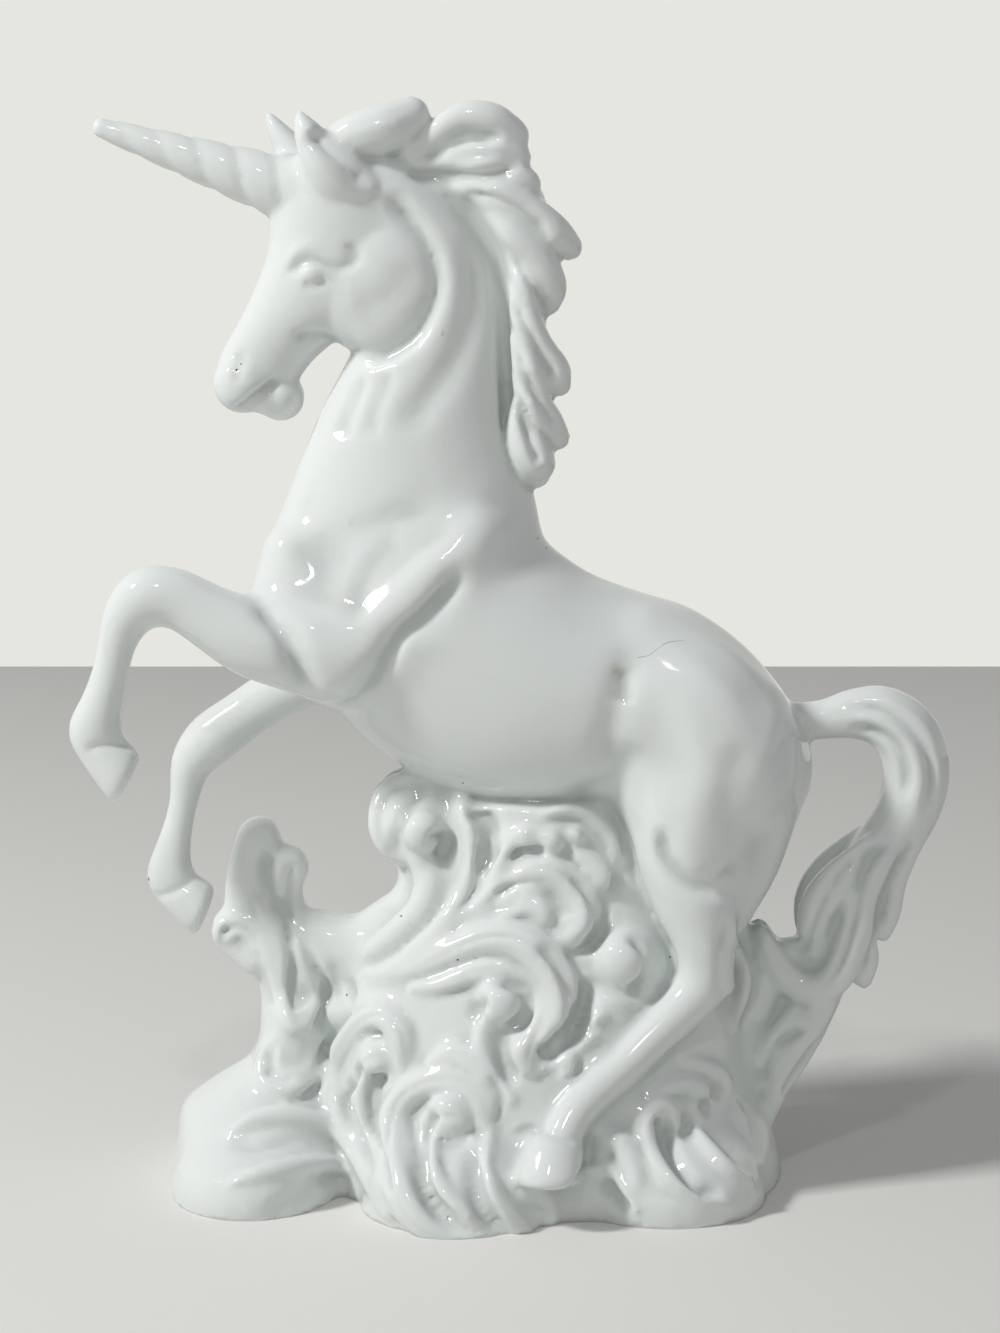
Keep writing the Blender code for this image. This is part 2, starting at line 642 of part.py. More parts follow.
def foot_lobes():
    # Round lobes that make the foot's wavy outline.
    balls = []
    for x, y, z, wide, deep, tall in ((-49.6, -12, 2, 0.88, 1.02, 0.64), (-49, 12, 2, 0.88, 0.98, 0.64),
                                      (-7, -21, 2, 1.10, 1.0, 0.82),
                                      (-7, 20, 2, 1.10, 1.0, 0.82), (17, -14, 1, 0.70, 0.8, 0.62),
                                      (17, 14, 1, 0.70, 0.8, 0.62), (33, -17, 2, 1.05, 1.0, 0.72),
                                      (33, 16, 2, 1.05, 1.0, 0.72), (45.6, 0, 2, 0.60, 1.1, 0.86)):
        x, y, z = np.array([x, y, z]) * UNIT
        size = FOOT_LOBE_RADIUS
        balls.append((x, y, z, size * wide, size * deep, size * tall))
    return ball_piece("foot lobes", balls)


def finger():
    # The free wave under the raised hooves, and the saddle that joins it to the mound.
    strokes = []
    for rows in ([(-41.5, 0, 22, 1.4), (-42.5, 1, 31, 1.2), (-44.2, 2, 40, 0.95), (-48.5, 3, 48, 0.95),
                  (-51.2, 3, 56, 0.92), (-50.9, 3, 63, 0.84), (-49.0, 3, 69.2, 0.86)],
                 [(-41, 1, 40, 1.0), (-43.6, 2, 48, 1.05), (-44.6, 2, 55, 0.92),
                  (-44.4, 1, 60, 0.78), (-43.0, 0.6, 64.0, 0.82)],
                 [(-44, 2, 47, 1.0), (-37.5, 1, 48.3, 1.22), (-29, 0, 46.8, 1.32),
                  (-20, 0, 49, 1.8)],
                 [(-50, 2, 53, 0.60), (-55.2, 1, 52.6, 0.55), (-56.4, 0, 49.6, 0.42),
                  (-53.5, 0, 47.2, 0.50), (-49.5, 0, 45, 0.70)]):
        strokes.append(smooth_rows(placed(rows, FINGER_RADIUS)))
    return curve_piece("finger", strokes)


def foam_ridge():
    # The backs of the waves, which fill the mound's right end up to the hock and the tail.
    strokes = []
    for rows in ([(47.6, 0, 2, 1.4), (47.6, 0, 14, 1.4), (48, 0, 27, 1.25), (48.5, 0, 38, 1.0),
                  (47.5, 0, 48, 0.8), (46, 0, 56, 0.5)],
                 [(50, 0, 30, 0.9), (52.5, 0, 38, 0.9), (56.5, 0, 44.5, 0.8), (62, 0, 46, 0.7)]):
        strokes.append(smooth_rows(placed(rows, FINGER_RADIUS)))
    return curve_piece("foam ridge", strokes)


def crest():
    # The rolled head of the wave that meets the belly.
    return ball_piece("crest", [oval((-16.6, 0, 73.2), CREST_RADIUS, 1.15),
                                oval((-12.0, 0, 58.0), CREST_RADIUS, 1.15, 1.1)])


# Rolls of foam on the mound: cords of (x, z, radius share), laid on both faces.
FOAM = [
    [(-21.6, 2.6, 0.39), (-26.7, 7.5, 0.55), (-30.9, 12.6, 0.64), (-33.3, 17.8, 0.69), (-33.3, 23.9, 0.69),
     (-31.5, 29.6, 0.66), (-27.8, 34.9, 0.72), (-23.7, 37.2, 0.81), (-20.4, 35.3, 0.81),
     (-19.3, 31.6, 0.66), (-19.7, 27.5, 0.31)],
    [(-9.8, 0.3, 0.23), (-17.1, 2.4, 0.47), (-22.1, 6.5, 0.59), (-25.4, 11.2, 0.62), (-27.5, 16.4, 0.62),
     (-28.3, 21, 0.61), (-27.5, 25.5, 0.66), (-25.7, 28.6, 0.75), (-23.7, 29, 0.8), (-23.2, 27.4, 0.6)],
    [(-1, -1, 0.47), (-9.8, -0.3, 0.78), (-15.7, 3.2, 1.03), (-19.6, 9, 1.19), (-20.9, 15.5, 1.12),
     (-19.7, 21.3, 0.88), (-15.7, 24.9, 0.75), (-10.8, 26.5, 0.75), (-6.3, 25.5, 0.75), (-3.4, 22.4, 0.69),
     (-3.4, 18.2, 0.39)],
    [(-13.2, 30.2, 0.31), (-8.8, 31.5, 0.55), (-4.4, 29.9, 0.66), (-1.2, 26.2, 0.66), (-0.4, 22.1, 0.62),
     (-1.9, 17.8, 0.39)],
    [(0, 1, 0.31), (-6.3, 4.3, 0.62), (-11.2, 8.2, 0.66), (-13.7, 12.7, 0.64), (-13.7, 16.9, 0.72),
     (-11.7, 19.5, 0.8), (-9.5, 19.9, 0.9), (-8, 18.6, 0.8)],
    [(-5.4, 15.8, 0.31), (-3.4, 11.2, 0.62), (-1.5, 6.5, 0.7), (1.5, 2.1, 0.62), (5, -1, 0.31)],
    [(-20.5, 66.5, 0.23), (-23.2, 69.5, 0.47), (-24.7, 74, 0.56), (-23.3, 79.9, 0.62), (-20.3, 81.6, 0.62),
     (-16.7, 82.1, 0.62), (-12.3, 81.6, 0.56), (-8.3, 79.4, 0.55), (-5.9, 74.4, 0.55), (-4.9, 69.1, 0.52),
     (-5.9, 63.8, 0.47), (-8.9, 58.4, 0.39), (-13.3, 53.4, 0.31), (-18.3, 49.6, 0.23)],
    [(-16, 68, 0.78), (-13.9, 62.9, 0.97), (-15.3, 57.7, 0.97), (-19.9, 53, 0.91), (-24.9, 48.9, 0.7)],
    [(-26.9, 44, 0.23), (-21.8, 45.9, 0.36), (-15.8, 50, 0.41), (-10.8, 54.6, 0.41), (-5.9, 60.1, 0.41),
     (-2, 66, 0.41), (1, 70.4, 0.44), (3.9, 72.5, 0.47), (7.4, 73, 0.55), (9.8, 72.5, 0.78)],
    [(-48, 57, 0.47), (-45.5, 51.5, 0.62), (-44.5, 46.5, 0.62), (-44.4, 41, 0.55), (-43.5, 36.5, 0.47),
     (-41.5, 32.9, 0.39), (-39, 31.9, 0.31)],
    [(-42, 54.5, 0.31), (-40.4, 50.5, 0.48), (-39, 46, 0.55), (-37.6, 41.5, 0.55), (-37.5, 37, 0.47),
     (-39, 33.4, 0.31)],
    [(-38, 49, 0.23), (-35.5, 45, 0.47), (-33.9, 40.5, 0.55), (-33.4, 36, 0.55), (-34.7, 31.4, 0.52),
     (-37.1, 28.4, 0.31)],
    [(-45.1, 30.4, 0.23), (-47.8, 26.9, 0.35), (-47.8, 22.9, 0.39), (-45.1, 20.9, 0.41),
     (-41.1, 20.9, 0.41), (-37.6, 22.6, 0.34), (-35.6, 25.9, 0.28)],
    [(-44.1, 28.9, 0.23), (-44.1, 25.4, 0.31), (-41.6, 23.6, 0.35), (-38.6, 24.6, 0.28),
     (-37.6, 27.4, 0.23)],
    [(-53.6, 13.6, 0.31), (-49.1, 16.1, 0.55), (-42.1, 16.6, 0.66), (-36.1, 14.6, 0.55),
     (-31.9, 11.7, 0.31)],
    [(-52.2, 7.2, 0.31), (-47.2, 8.5, 0.55), (-41.1, 8.7, 0.62), (-35.1, 7.5, 0.55), (-30.4, 5.8, 0.31)],
    [(-57.2, 49.6, 0.31), (-56.9, 51.9, 0.36), (-54.6, 53.4, 0.38), (-51.5, 53.4, 0.39),
     (-48.7, 51.5, 0.42), (-47.1, 48.5, 0.45), (-46.6, 45, 0.39)],
    [(-55, 49.4, 0.27), (-54.1, 50.7, 0.3), (-52.4, 51.2, 0.31), (-50.6, 49.9, 0.31), (-49.6, 47.7, 0.27)],
    [(-2.4, 15.9, 0.39), (-3.4, 12.2, 0.48), (-1.7, 7.9, 0.56), (1.7, 3.7, 0.62), (5.5, -1, 0.47)],
    [(-24.8, 43.8, 0.23), (-17.3, 46.4, 0.47), (-9.8, 50.4, 0.7), (-3.9, 53.1, 0.88), (1.5, 53.6, 1.03),
     (6.4, 51.6, 1.17), (9.8, 47.8, 1.17), (11.7, 43.1, 1.11), (11.2, 38.5, 1.02), (8.8, 34.8, 0.84),
     (6.8, 31.5, 0.47)],
    [(-17.2, 43.1, 0.31), (-11.3, 44.3, 0.47), (-5.9, 46.6, 0.55), (-1, 48, 0.56), (3.4, 46.9, 0.59),
     (6.3, 43.7, 0.62), (7.3, 39.5, 0.62), (5.9, 35.7, 0.66), (4.4, 32.5, 0.88), (4.9, 29.7, 0.66)],
    [(-3.4, 38.8, 0.23), (-3.9, 34.6, 0.47), (-2.9, 30.4, 0.56), (-1, 26.7, 0.62), (1.9, 23.5, 0.47)],
    [(-14.8, 52.7, 0.23), (-8.4, 57.1, 0.33), (-3.4, 61.6, 0.41), (0.5, 65, 0.48), (4.4, 66.7, 0.62),
     (8.3, 66.8, 0.72), (12.3, 65.2, 0.81), (15.3, 62.3, 0.89), (16.8, 59, 0.92), (16.2, 55.7, 0.88),
     (13.7, 53.9, 0.7), (11.7, 53.9, 0.39)],
    [(0, 60.4, 0.23), (4.4, 62.5, 0.39), (8.3, 63.5, 0.42), (11.4, 61.9, 0.45), (12.8, 59.1, 0.47),
     (12.1, 56.3, 0.39)],
    [(0, 57.6, 0.23), (4.4, 59.5, 0.47), (7.6, 59.7, 0.7), (9.2, 58.2, 0.66)],
    [(8.3, 77.4, 0.23), (12.3, 78.3, 0.39), (16.2, 77.6, 0.42), (19.7, 74.9, 0.42), (22.2, 71.4, 0.42),
     (22.9, 68, 0.31)],
    [(14.7, 70, 0.31), (17.5, 67.9, 0.56), (19.7, 65.4, 0.72), (20.3, 63.5, 0.66)],
    [(24.6, 55.7, 0.23), (28.6, 52.9, 0.36), (30.9, 48.5, 0.38), (30.3, 44.8, 0.33), (28, 42.7, 0.23)],
    [(14.6, 31.9, 0.19), (16.8, 34.4, 0.34), (19, 35.5, 0.28)],
    [(16.1, 36.1, 0.19), (18.1, 38.2, 0.34), (20.3, 39, 0.28)],
    [(19.1, 41.5, 0.19), (21.5, 40.4, 0.38), (24.5, 38.3, 0.25)],
    [(21.5, 43.7, 0.23), (24, 41.7, 0.41), (26.7, 40.8, 0.27)],
    [(6.3, 28.3, 0.23), (9.3, 30, 0.36), (11.7, 31.4, 0.41), (13.7, 30.8, 0.41), (13.5, 29, 0.34),
     (11.7, 27.8, 0.23)],
    [(44.5, 3.5, 0.31), (38.3, 6.3, 0.48), (32.8, 9.1, 0.66), (29.3, 12.9, 0.72), (28.1, 16.7, 0.66),
     (28.9, 19.9, 0.58), (31.4, 20.8, 0.53), (33.9, 19.3, 0.47), (35.2, 16.7, 0.31)],
    [(36.8, 17, 0.25), (39, 14.8, 0.45), (41.9, 11.8, 0.56), (45.2, 9.1, 0.48), (48.8, 6.5, 0.31)],
    [(28.9, 23.6, 0.23), (32.4, 24.8, 0.42), (36.4, 24.9, 0.5), (39.6, 23, 0.53), (41.8, 20.6, 0.39)],
    [(35.9, 28.8, 0.23), (39.5, 27.7, 0.42), (43.2, 25.5, 0.48), (45.4, 22.6, 0.39)],
    [(46.8, 18, 0.31), (47.4, 15.4, 0.58), (49.4, 12.5, 0.31)],
    [(19.5, 15.9, 0.31), (22.9, 15.2, 0.66), (25.3, 12.3, 0.78), (26.4, 9.3, 0.56), (26.7, 6.9, 0.23)],
    [(17.5, 10.9, 0.28), (21, 10.2, 0.48), (23.9, 7.2, 0.48), (26.4, 3.6, 0.31)],
    [(4.4, 7.2, 0.39), (8.2, 5.8, 0.52), (9.9, 2.8, 0.47), (9, -1, 0.31)],
    [(45.4, 58, 0.23), (45.6, 53, 0.34), (47.5, 47.5, 0.42), (49.5, 43, 0.42), (49, 38, 0.42),
     (46.5, 33.4, 0.34)]]
FOAM_BALLS = [(-15.5, 73.3, 1.2), (-24.3, 28.2, 1.1), (-9.5, 19.4, 1.4), (0.2, 41.7, 1.38),
              (24.1, 48.9, 1.65), (10.4, 72.2, 0.78)]


def foam(skin):
    strokes = []
    balls = []
    for side in (-1, 1):
        for cord in FOAM:
            rows = smooth_rows(flat(cord, SCROLL_RADIUS), 4)
            strokes.append(drape(rows, skin, side, SCROLL_SINK))
        for x, y, z, size in flat(FOAM_BALLS, SCROLL_RADIUS):
            for place in drape([(x, y, z, size)], skin, side, SCROLL_SINK):
                balls.append((place[0], place[1], place[2], size, size * 0.9, size))
    return [curve_piece("foam cords", strokes), ball_piece("foam balls", balls)]


# Carved lines: width and depth as shares, then drawn (x, z) points. These press the bare forms.
FOLDS = [
    (1.1, 1.8, [(-21.4, 198.9), (-20.3, 196.4), (-16, 191.5), (-13, 185.1), (-13, 179),
                (-16.1, 172.2), (-20.4, 168.6), (-25.5, 166.8), (-29.7, 167.6)]),
    (1.8, 0.9, [(-7, 191), (-5, 180), (-8, 168), (-15, 158), (-21, 152.5)]),
    (1.2, 1.6, [(-14.5, 203.6), (-9.0, 199.4), (-4.4, 193.0), (-0.6, 186.6), (0.6, 178),
                (1.0, 168), (1.0, 158), (1.6, 150), (3.8, 142.6)]),
    (1.7, 0.55, [(-11.1, 142), (-21.1, 136), (-26.3, 132.8), (-33.1, 127.9), (-36.8, 123.3)]),
    (1.7, 0.5, [(-7.1, 135.1), (-15.2, 130.8), (-19, 127.2), (-23.9, 122.7), (-27.2, 116.7)]),
    (1.8, 1.4, [(-9, 128.7), (-8.7, 125.2), (-11.2, 121.2), (-15.2, 116.7), (-19.9, 113.8),
                (-22, 109.9), (-25.2, 105), (-29.6, 101.6), (-34.1, 99.2)]),
    (1.6, 1.6, [(-49.2, 122.9), (-44.7, 118.2), (-41.5, 115.5), (-39.2, 109.9), (-38.1, 105.8),
                (-35.3, 100.5)]),
    (2.4, 0.6, [(0, 141), (-0.4, 135), (0.8, 127.6)]),
    (2.0, 1.0, [(27.1, 111.2), (23.6, 104.4), (21.7, 95.5), (19.4, 87.6)]),
    (1.7, 0.8, [(27.2, 93.6), (21.8, 85.7), (12.7, 80.7)]),
    (1.4, 1.3, [(31.4, 77.0), (32.0, 70.2), (37.7, 65.6), (43.6, 66.6), (47.0, 69.4)])]
# These press the finished skin.
LINES = [
    (0.8, 0.6, [(-40.6, 170.1), (-37.3, 171.3), (-33, 170.1), (-30.9, 169)]),
    (0.7, 0.55, [(-52.4, 157.4), (-50.1, 157.1), (-45.8, 160), (-42.4, 163)]),
    (0.8, 0.7, [(-41.4, 181.2), (-39.3, 184.0), (-36.2, 185.4), (-32.9, 184.6), (-29.6, 185.5),
                (-27.5, 187.2)]),
    (0.7, 0.5, [(-39.0, 181.4), (-35.8, 180.9), (-32.1, 182.8)]),
    (1.6, 1.6, [(-36.4, 211.0), (-33.4, 207.6), (-29.0, 203.6), (-24.6, 199.8)]),
    (1.0, 0.6, [(-48.4, 169.6), (-48.2, 166.4), (-47.6, 163.9)]),
    (0.9, 0.9, [(68, 97.4), (74.5, 97.4), (80.2, 94.4), (84.6, 89), (86.2, 82), (84.5, 75)]),
    (0.9, 0.9, [(69, 93), (74.5, 92.4), (78.8, 89.4), (80.6, 84.3), (79.6, 78)]),
    (0.8, 1.2, [(79.9, 71.3), (74.2, 67.9), (71.7, 62.2), (70.6, 55.4), (68.3, 48), (64.6, 40.5)]),
    (0.8, 1.2, [(83.5, 71.3), (79.1, 64.5), (76.4, 55.4), (74.7, 48.6), (72.6, 41.9)]),
    (0.9, 1.2, [(74.1, 70.2), (67.6, 64.5), (64.8, 57.7), (62.8, 50.8), (59.5, 46.8)]),
    (0.8, 1, [(63, 33.1), (56.9, 30.2), (53.8, 25.6), (52.6, 20.3)]),
    (0.8, 1, [(64.8, 30.2), (59.8, 23.2), (57.1, 17.4)]),
    (0.9, 1.1, [(-16.3, 204.2), (-11.4, 206.6), (-6, 208.5), (0.6, 209.1)]),
    (0.9, 1.1, [(-18.4, 202.6), (-10.3, 201.9), (-2.3, 202.1), (4.2, 204)]),
    (0.9, 1.1, [(-7.1, 198.4), (-1.2, 197.3), (4.7, 194.6), (10.2, 189.8)]),
    (0.8, 1, [(1.5, 186.1), (4.8, 182.9), (8.6, 177.5), (10.2, 173.2)]),
    (0.8, 1, [(2.1, 177.5), (4.8, 173.2), (8.6, 166.7), (11.3, 161.8)]),
    (0.8, 1, [(2.4, 168.9), (4.8, 163.4), (8.6, 157.5), (11.9, 151.5)]),
    (0.8, 1, [(2.6, 160.2), (4.8, 154.7), (6.4, 149.8), (8.1, 146)])]
# Grooves between the rolls of foam, in the same form; these press the skin before its last smoothing.
GROOVES = [
    (0.9, 2, [(-27.2, 27.4), (-29.6, 24.9), (-30.5, 20.8), (-29.8, 16.7), (-27.7, 12.6), (-24.9, 8.9)]),
    (0.9, 2.2, [(-21.6, 25.5), (-24.2, 24.6), (-25.1, 21.3), (-24.9, 15.6), (-23.5, 11.2), (-21.4, 7.4)]),
    (0.9, 2.2, [(-11.8, 20.3), (-14.4, 19.4), (-15.5, 14.8), (-14.9, 9.7), (-12.2, 5.6), (-7.3, 1.6)]),
    (0.9, 1.6, [(-5.4, 16.2), (-5.2, 13), (-4.4, 8.7), (-2.4, 4.5), (0, 1.6)]),
    (0.9, 1.8, [(-14.5, 71.4), (-12, 72.6), (-10.6, 71.4), (-11.3, 69.5), (-13.4, 68.5)]),
    (0.9, 1.3, [(-20.2, 66.9), (-21, 71), (-19.9, 74.5), (-17.6, 79.3), (-14.5, 80.6)]),
    (1.2, 2.7, [(-7.4, 78.1), (-3.7, 77), (-2.1, 73.7), (-3.2, 68.3), (-5.9, 62.9), (-9.9, 57)]),
    (0.9, 1.4, [(-46.8, 68), (-47.4, 63), (-45.8, 58.5), (-43.4, 54.5)]),
    (0.9, 1.4, [(-41.2, 66.2), (-42.3, 62), (-42.7, 57), (-41.4, 53)]),
    (0.9, 1.4, [(-31, 43), (-30, 39.6), (-31.5, 35), (-33.8, 30.9), (-35.3, 26.9), (-35.6, 21.4)]),
    (0.9, 1.1, [(-53.7, 12.8), (-47.6, 12), (-40.1, 12.8), (-34.6, 10.3)]),
    (1.2, 1.3, [(-46.2, 0.4), (-42.2, 3), (-37.2, 4.6), (-32, 3.7)]),
    (0.9, 1.1, [(-43, 55), (-40, 50.5), (-38, 46), (-35.5, 40.5), (-35.5, 36)]),
    (0.9, 1.8, [(-4.4, 16.3), (-5.3, 12), (-4.4, 7.3), (-1.5, 3.1), (3, -1)]),
    (0.9, 1.6, [(7.8, 62.1), (10.8, 61.1), (11.8, 58.6), (10.8, 56.4)]),
    (0.9, 1.8, [(-2, 46.4), (2, 46), (4.9, 44.1), (5.6, 40.9), (3.7, 38), (0, 37.4)]),
    (0.9, 1.5, [(-3.5, 39.3), (-4.7, 40.4), (-3.9, 41.8), (-2.4, 41.9)]),
    (1.1, 2.5, [(15.4, 42.6), (14.6, 37.5), (11, 34.3), (7.8, 30.1)]),
    (0.9, 1.5, [(1.8, 37.1), (0.2, 33.3), (1, 29.6), (3.6, 27.1)]),
    (0.9, 1.8, [(17.9, 46.2), (16.7, 42.1), (15.1, 37.7)]),
    (0.9, 1.8, [(24.4, 54.6), (28, 52.5), (29.3, 48.2), (27.7, 45), (24.5, 43.5)]),
    (0.9, 2, [(33.6, 17.4), (32.4, 14.8), (34.3, 11.3), (38.8, 7.9), (43.5, 6.2)]),
    (0.9, 1.4, [(37.4, 19), (36.8, 16.5), (35.6, 14.9)]),
    (0.9, 1.4, [(43.9, 22.8), (41.5, 20.3), (39.4, 19.3)]),
    (0.9, 1.6, [(16.8, 17.4), (17.5, 14.2), (16, 10.9), (13.6, 9.1)]),
    (0.9, 1.3, [(20, 8.8), (22.5, 5.4), (25.1, 2.9)]),
    (0.9, 1.4, [(11.8, 67.5), (16.1, 64.4), (19.2, 60.3), (19.7, 56.7), (18.1, 53.5), (15.2, 51.9)]),
    (0.9, 1.4, [(7.3, 53.9), (11.3, 50.5), (13.3, 46.8), (15.2, 42.1)]),
    (0.9, 1.1, [(12.3, 74.6), (13, 71.7), (11.3, 69.2)]),
    (0.9, 1.1, [(22.4, 66.1), (22.7, 63.3), (20.4, 61.2)]),
    (0.9, 1.3, [(-0.5, 65.6), (2.9, 68.3), (6.6, 70.1), (9.4, 70.5)]),
    (0.9, 1.3, [(-2.4, 28.5), (-0.2, 24.9), (0.2, 21.6), (-1.7, 17.8)])]
# Small hollows: width and depth as shares, then a drawn (x, z) point.
HOLLOWS = [(0.7, 0.9, -51.0, 162.8), (0.8, 0.8, -41.4, 160.4), (0.9, 0.9, -27.4, 187.4)]


def carve_lines(body, lines, hollows):
    skin = skin_of(body)
    mesh = body.data
    places = places_of(mesh)
    normals = normals_of(mesh)
    for side in (-1, 1):
        for width, depth, points in lines:
            rows = smooth_rows(flat([(x, z, 0) for x, z in points]))
            laid = drape(rows, skin, side)
            if len(laid) > 2:
                carve(places, normals, laid, LINE_DEPTH * depth, LINE_WIDTH * width)
        for width, depth, x, z in hollows:
            for spot in drape(flat([(x, z, 0)]), skin, side):
                gap = np.linalg.norm(places - spot[:3], axis=1) / (LINE_WIDTH * width)
                places[:, 1] -= side * LINE_DEPTH * depth * np.exp(-gap ** 2)
    set_places(mesh, places)


# The underside

def cutter(name, form, cutters):
    piece = mesh_piece(name, form)
    bpy.context.scene.collection.objects.unlink(piece)
    cutters.objects.link(piece)
    piece.hide_render = True
    piece.display_type = "WIRE"
    return piece


def floor_cutter(cutters):
    form = bmesh.new()
    bmesh.ops.create_cube(form, size=1.0)
    for vertex in form.verts:
        vertex.co.x *= FIGURE_LENGTH * 2
        vertex.co.y *= FIGURE_DEPTH * 2
        vertex.co.z = (vertex.co.z - 0.5) * FIGURE_HEIGHT * 0.25
    return cutter("table plane cutter", form, cutters)


def recess_cutter(cutters, middle):
    # The shallow oval recess with the vent hole in its middle.
    form = bmesh.new()
    bmesh.ops.create_cone(form, cap_ends=True, segments=48, radius1=1.0, radius2=1.0, depth=1.0)
    for vertex in form.verts:
        vertex.co.x = vertex.co.x * RECESS_HALF_LENGTH + middle.x
        vertex.co.y = vertex.co.y * RECESS_HALF_DEPTH + middle.y
        vertex.co.z = vertex.co.z * FOOT_RECESS * 2
    return cutter("foot recess cutter", form, cutters)


def vent_cutter(cutters, middle):
    form = bmesh.new()
    bmesh.ops.create_cone(form, cap_ends=True, segments=20, radius1=VENT_RADIUS,
                          radius2=VENT_RADIUS, depth=(FOOT_RECESS + VENT_DEPTH) * 2)
    bmesh.ops.translate(form, verts=form.verts, vec=middle)
    return cutter("vent hole cutter", form, cutters)


def apply_modifiers(body):
    depsgraph = bpy.context.evaluated_depsgraph_get()
    mesh = bpy.data.meshes.new_from_object(body.evaluated_get(depsgraph))
    body.modifiers.clear()
    body.data = mesh


def thin(body):
    # Keeps the triangles where the form turns most.
    triangles = sum(len(face.vertices) - 2 for face in body.data.polygons)
    decimate = body.modifiers.new("Thin", "DECIMATE")
    decimate.ratio = FACE_COUNT / triangles
    decimate.use_collapse_triangulate = True
    apply_modifiers(body)


def centre(body):
    # Puts the middle of the figure's length and depth on the origin, and returns the move.
    places = places_of(body.data)
    middle = (places.min(axis=0) + places.max(axis=0)) / 2
    move = Vector((-middle[0], -middle[1], 0))
    set_places(body.data, places + np.array(move))
    return move


def cut_foot(body, cutters, move):
    middle = Vector((RECESS_MIDDLE, 0, 0)) + move
    for piece in (floor_cutter(cutters), recess_cutter(cutters, middle),
                  vent_cutter(cutters, middle)):
        boolean = body.modifiers.new(piece.name, "BOOLEAN")
        boolean.operation = "DIFFERENCE"
        boolean.solver = "EXACT"
        boolean.object = piece


# The whole figure

def glaze():
    material = bpy.data.materials.new("white glazed porcelain")
    material.use_nodes = True
    shader = material.node_tree.nodes["Principled BSDF"]
    shader.inputs["Base Color"].default_value = GLAZE_COLOUR
    shader.inputs["Roughness"].default_value = GLAZE_ROUGHNESS
    shader.inputs["Metallic"].default_value = 0.0
    return material


def skin_of(body):
    form = bmesh.new()
    form.from_mesh(body.data)
    tree = BVHTree.FromBMesh(form)
    form.free()
    return tree


def horse():
    body = fuse("horse", [barrel(), neck(), skull(), muscles(), *near_foreleg(), *far_foreleg(),
                          *near_hind_leg(), *far_hind_leg()])
    soften(body, BODY_FILLET, True)
    soften(body, BODY_SMOOTHING, False)
    return body


def waves():
    body = fuse("waves", [mound(), left_swell(), foot_lobes(), finger(), foam_ridge(), crest()])
    soften(body, BODY_FILLET, True)
    return body


def figure():
    core = fuse("core", [horse(), waves(), mane_core(), tail()])
    carve_lines(core, FOLDS, [])
    body = fuse("unicorn_figurine", [core, face(), brows(), *ears(), horn(), mane_locks(),
                                     *foam(skin_of(core))])
    soften(body, FIGURE_FILLET, True)
    carve_lines(body, GROOVES, [])
    soften(body, SMOOTHING, False)
    carve_lines(body, LINES, HOLLOWS)
    return body


def build():
    for item in list(bpy.data.objects):
        bpy.data.objects.remove(item)
    parts = bpy.data.collections.new("unicorn figurine")
    cutters = bpy.data.collections.new("cutters")
    bpy.context.scene.collection.children.link(parts)
    bpy.context.scene.collection.children.link(cutters)
    body = figure()
    body.name = "unicorn_figurine"
    thin(body)
    cut_foot(body, cutters, centre(body))
    bpy.context.scene.collection.objects.unlink(body)
    parts.objects.link(body)
    body.data.materials.clear()
    body.data.materials.append(glaze())
    body.data.shade_smooth()


build()
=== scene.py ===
# White glazed porcelain unicorn rearing over carved waves: the photograph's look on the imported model.
# Metres, +Z up; drawn points are in millimetres. The horse looks along -X, the photographed side is -Y.
import math
import bpy
import bmesh
import numpy as np
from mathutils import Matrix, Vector
from mathutils.bvhtree import BVHTree


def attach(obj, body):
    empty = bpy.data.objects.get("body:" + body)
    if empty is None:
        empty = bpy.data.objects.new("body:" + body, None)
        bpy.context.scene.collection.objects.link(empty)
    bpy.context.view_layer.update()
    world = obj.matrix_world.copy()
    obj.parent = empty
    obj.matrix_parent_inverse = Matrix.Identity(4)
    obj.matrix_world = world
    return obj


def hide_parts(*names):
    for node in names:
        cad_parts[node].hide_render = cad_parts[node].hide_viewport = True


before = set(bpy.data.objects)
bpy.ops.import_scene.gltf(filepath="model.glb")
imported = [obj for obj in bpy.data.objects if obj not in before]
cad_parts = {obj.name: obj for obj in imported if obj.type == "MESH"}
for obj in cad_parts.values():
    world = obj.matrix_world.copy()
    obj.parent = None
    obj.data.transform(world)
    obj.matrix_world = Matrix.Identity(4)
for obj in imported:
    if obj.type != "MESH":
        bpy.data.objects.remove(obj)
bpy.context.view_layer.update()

print("frame loaded")


def hexToLinear(code):
    # An sRGB hex colour as linear values.
    values = [int(code[place:place + 2], 16) / 255 for place in (1, 3, 5)]
    linear = [value / 12.92 if value <= 0.04045 else ((value + 0.055) / 1.055) ** 2.4 for value in values]
    return (*linear, 1.0)


def addPiece(name, data):
    piece = bpy.data.objects.new(name, data)
    bpy.context.scene.collection.objects.link(piece)
    return piece


def aimAt(holder, target):
    # Turns a camera or a lamp towards a place.
    holder.rotation_euler = (Vector(target) - holder.location).to_track_quat("-Z", "Y").to_euler()


# Camera, at the photograph's angle
cameraView = {"back": 0.600, "height": 0.195, "aimHeight": 0.105, "aside": -0.0030,
              "lens": 81.93, "sensor": 36}


def addCamera():
    camera = bpy.data.cameras.new("photo camera")
    camera.sensor_width = cameraView["sensor"]
    camera.lens = cameraView["lens"]
    holder = addPiece("photo camera", camera)
    holder.location = (cameraView["aside"], -cameraView["back"], cameraView["height"])
    aimAt(holder, (cameraView["aside"], 0, cameraView["aimHeight"]))
    bpy.context.scene.camera = holder


addCamera()
print("camera placed")

# Glaze

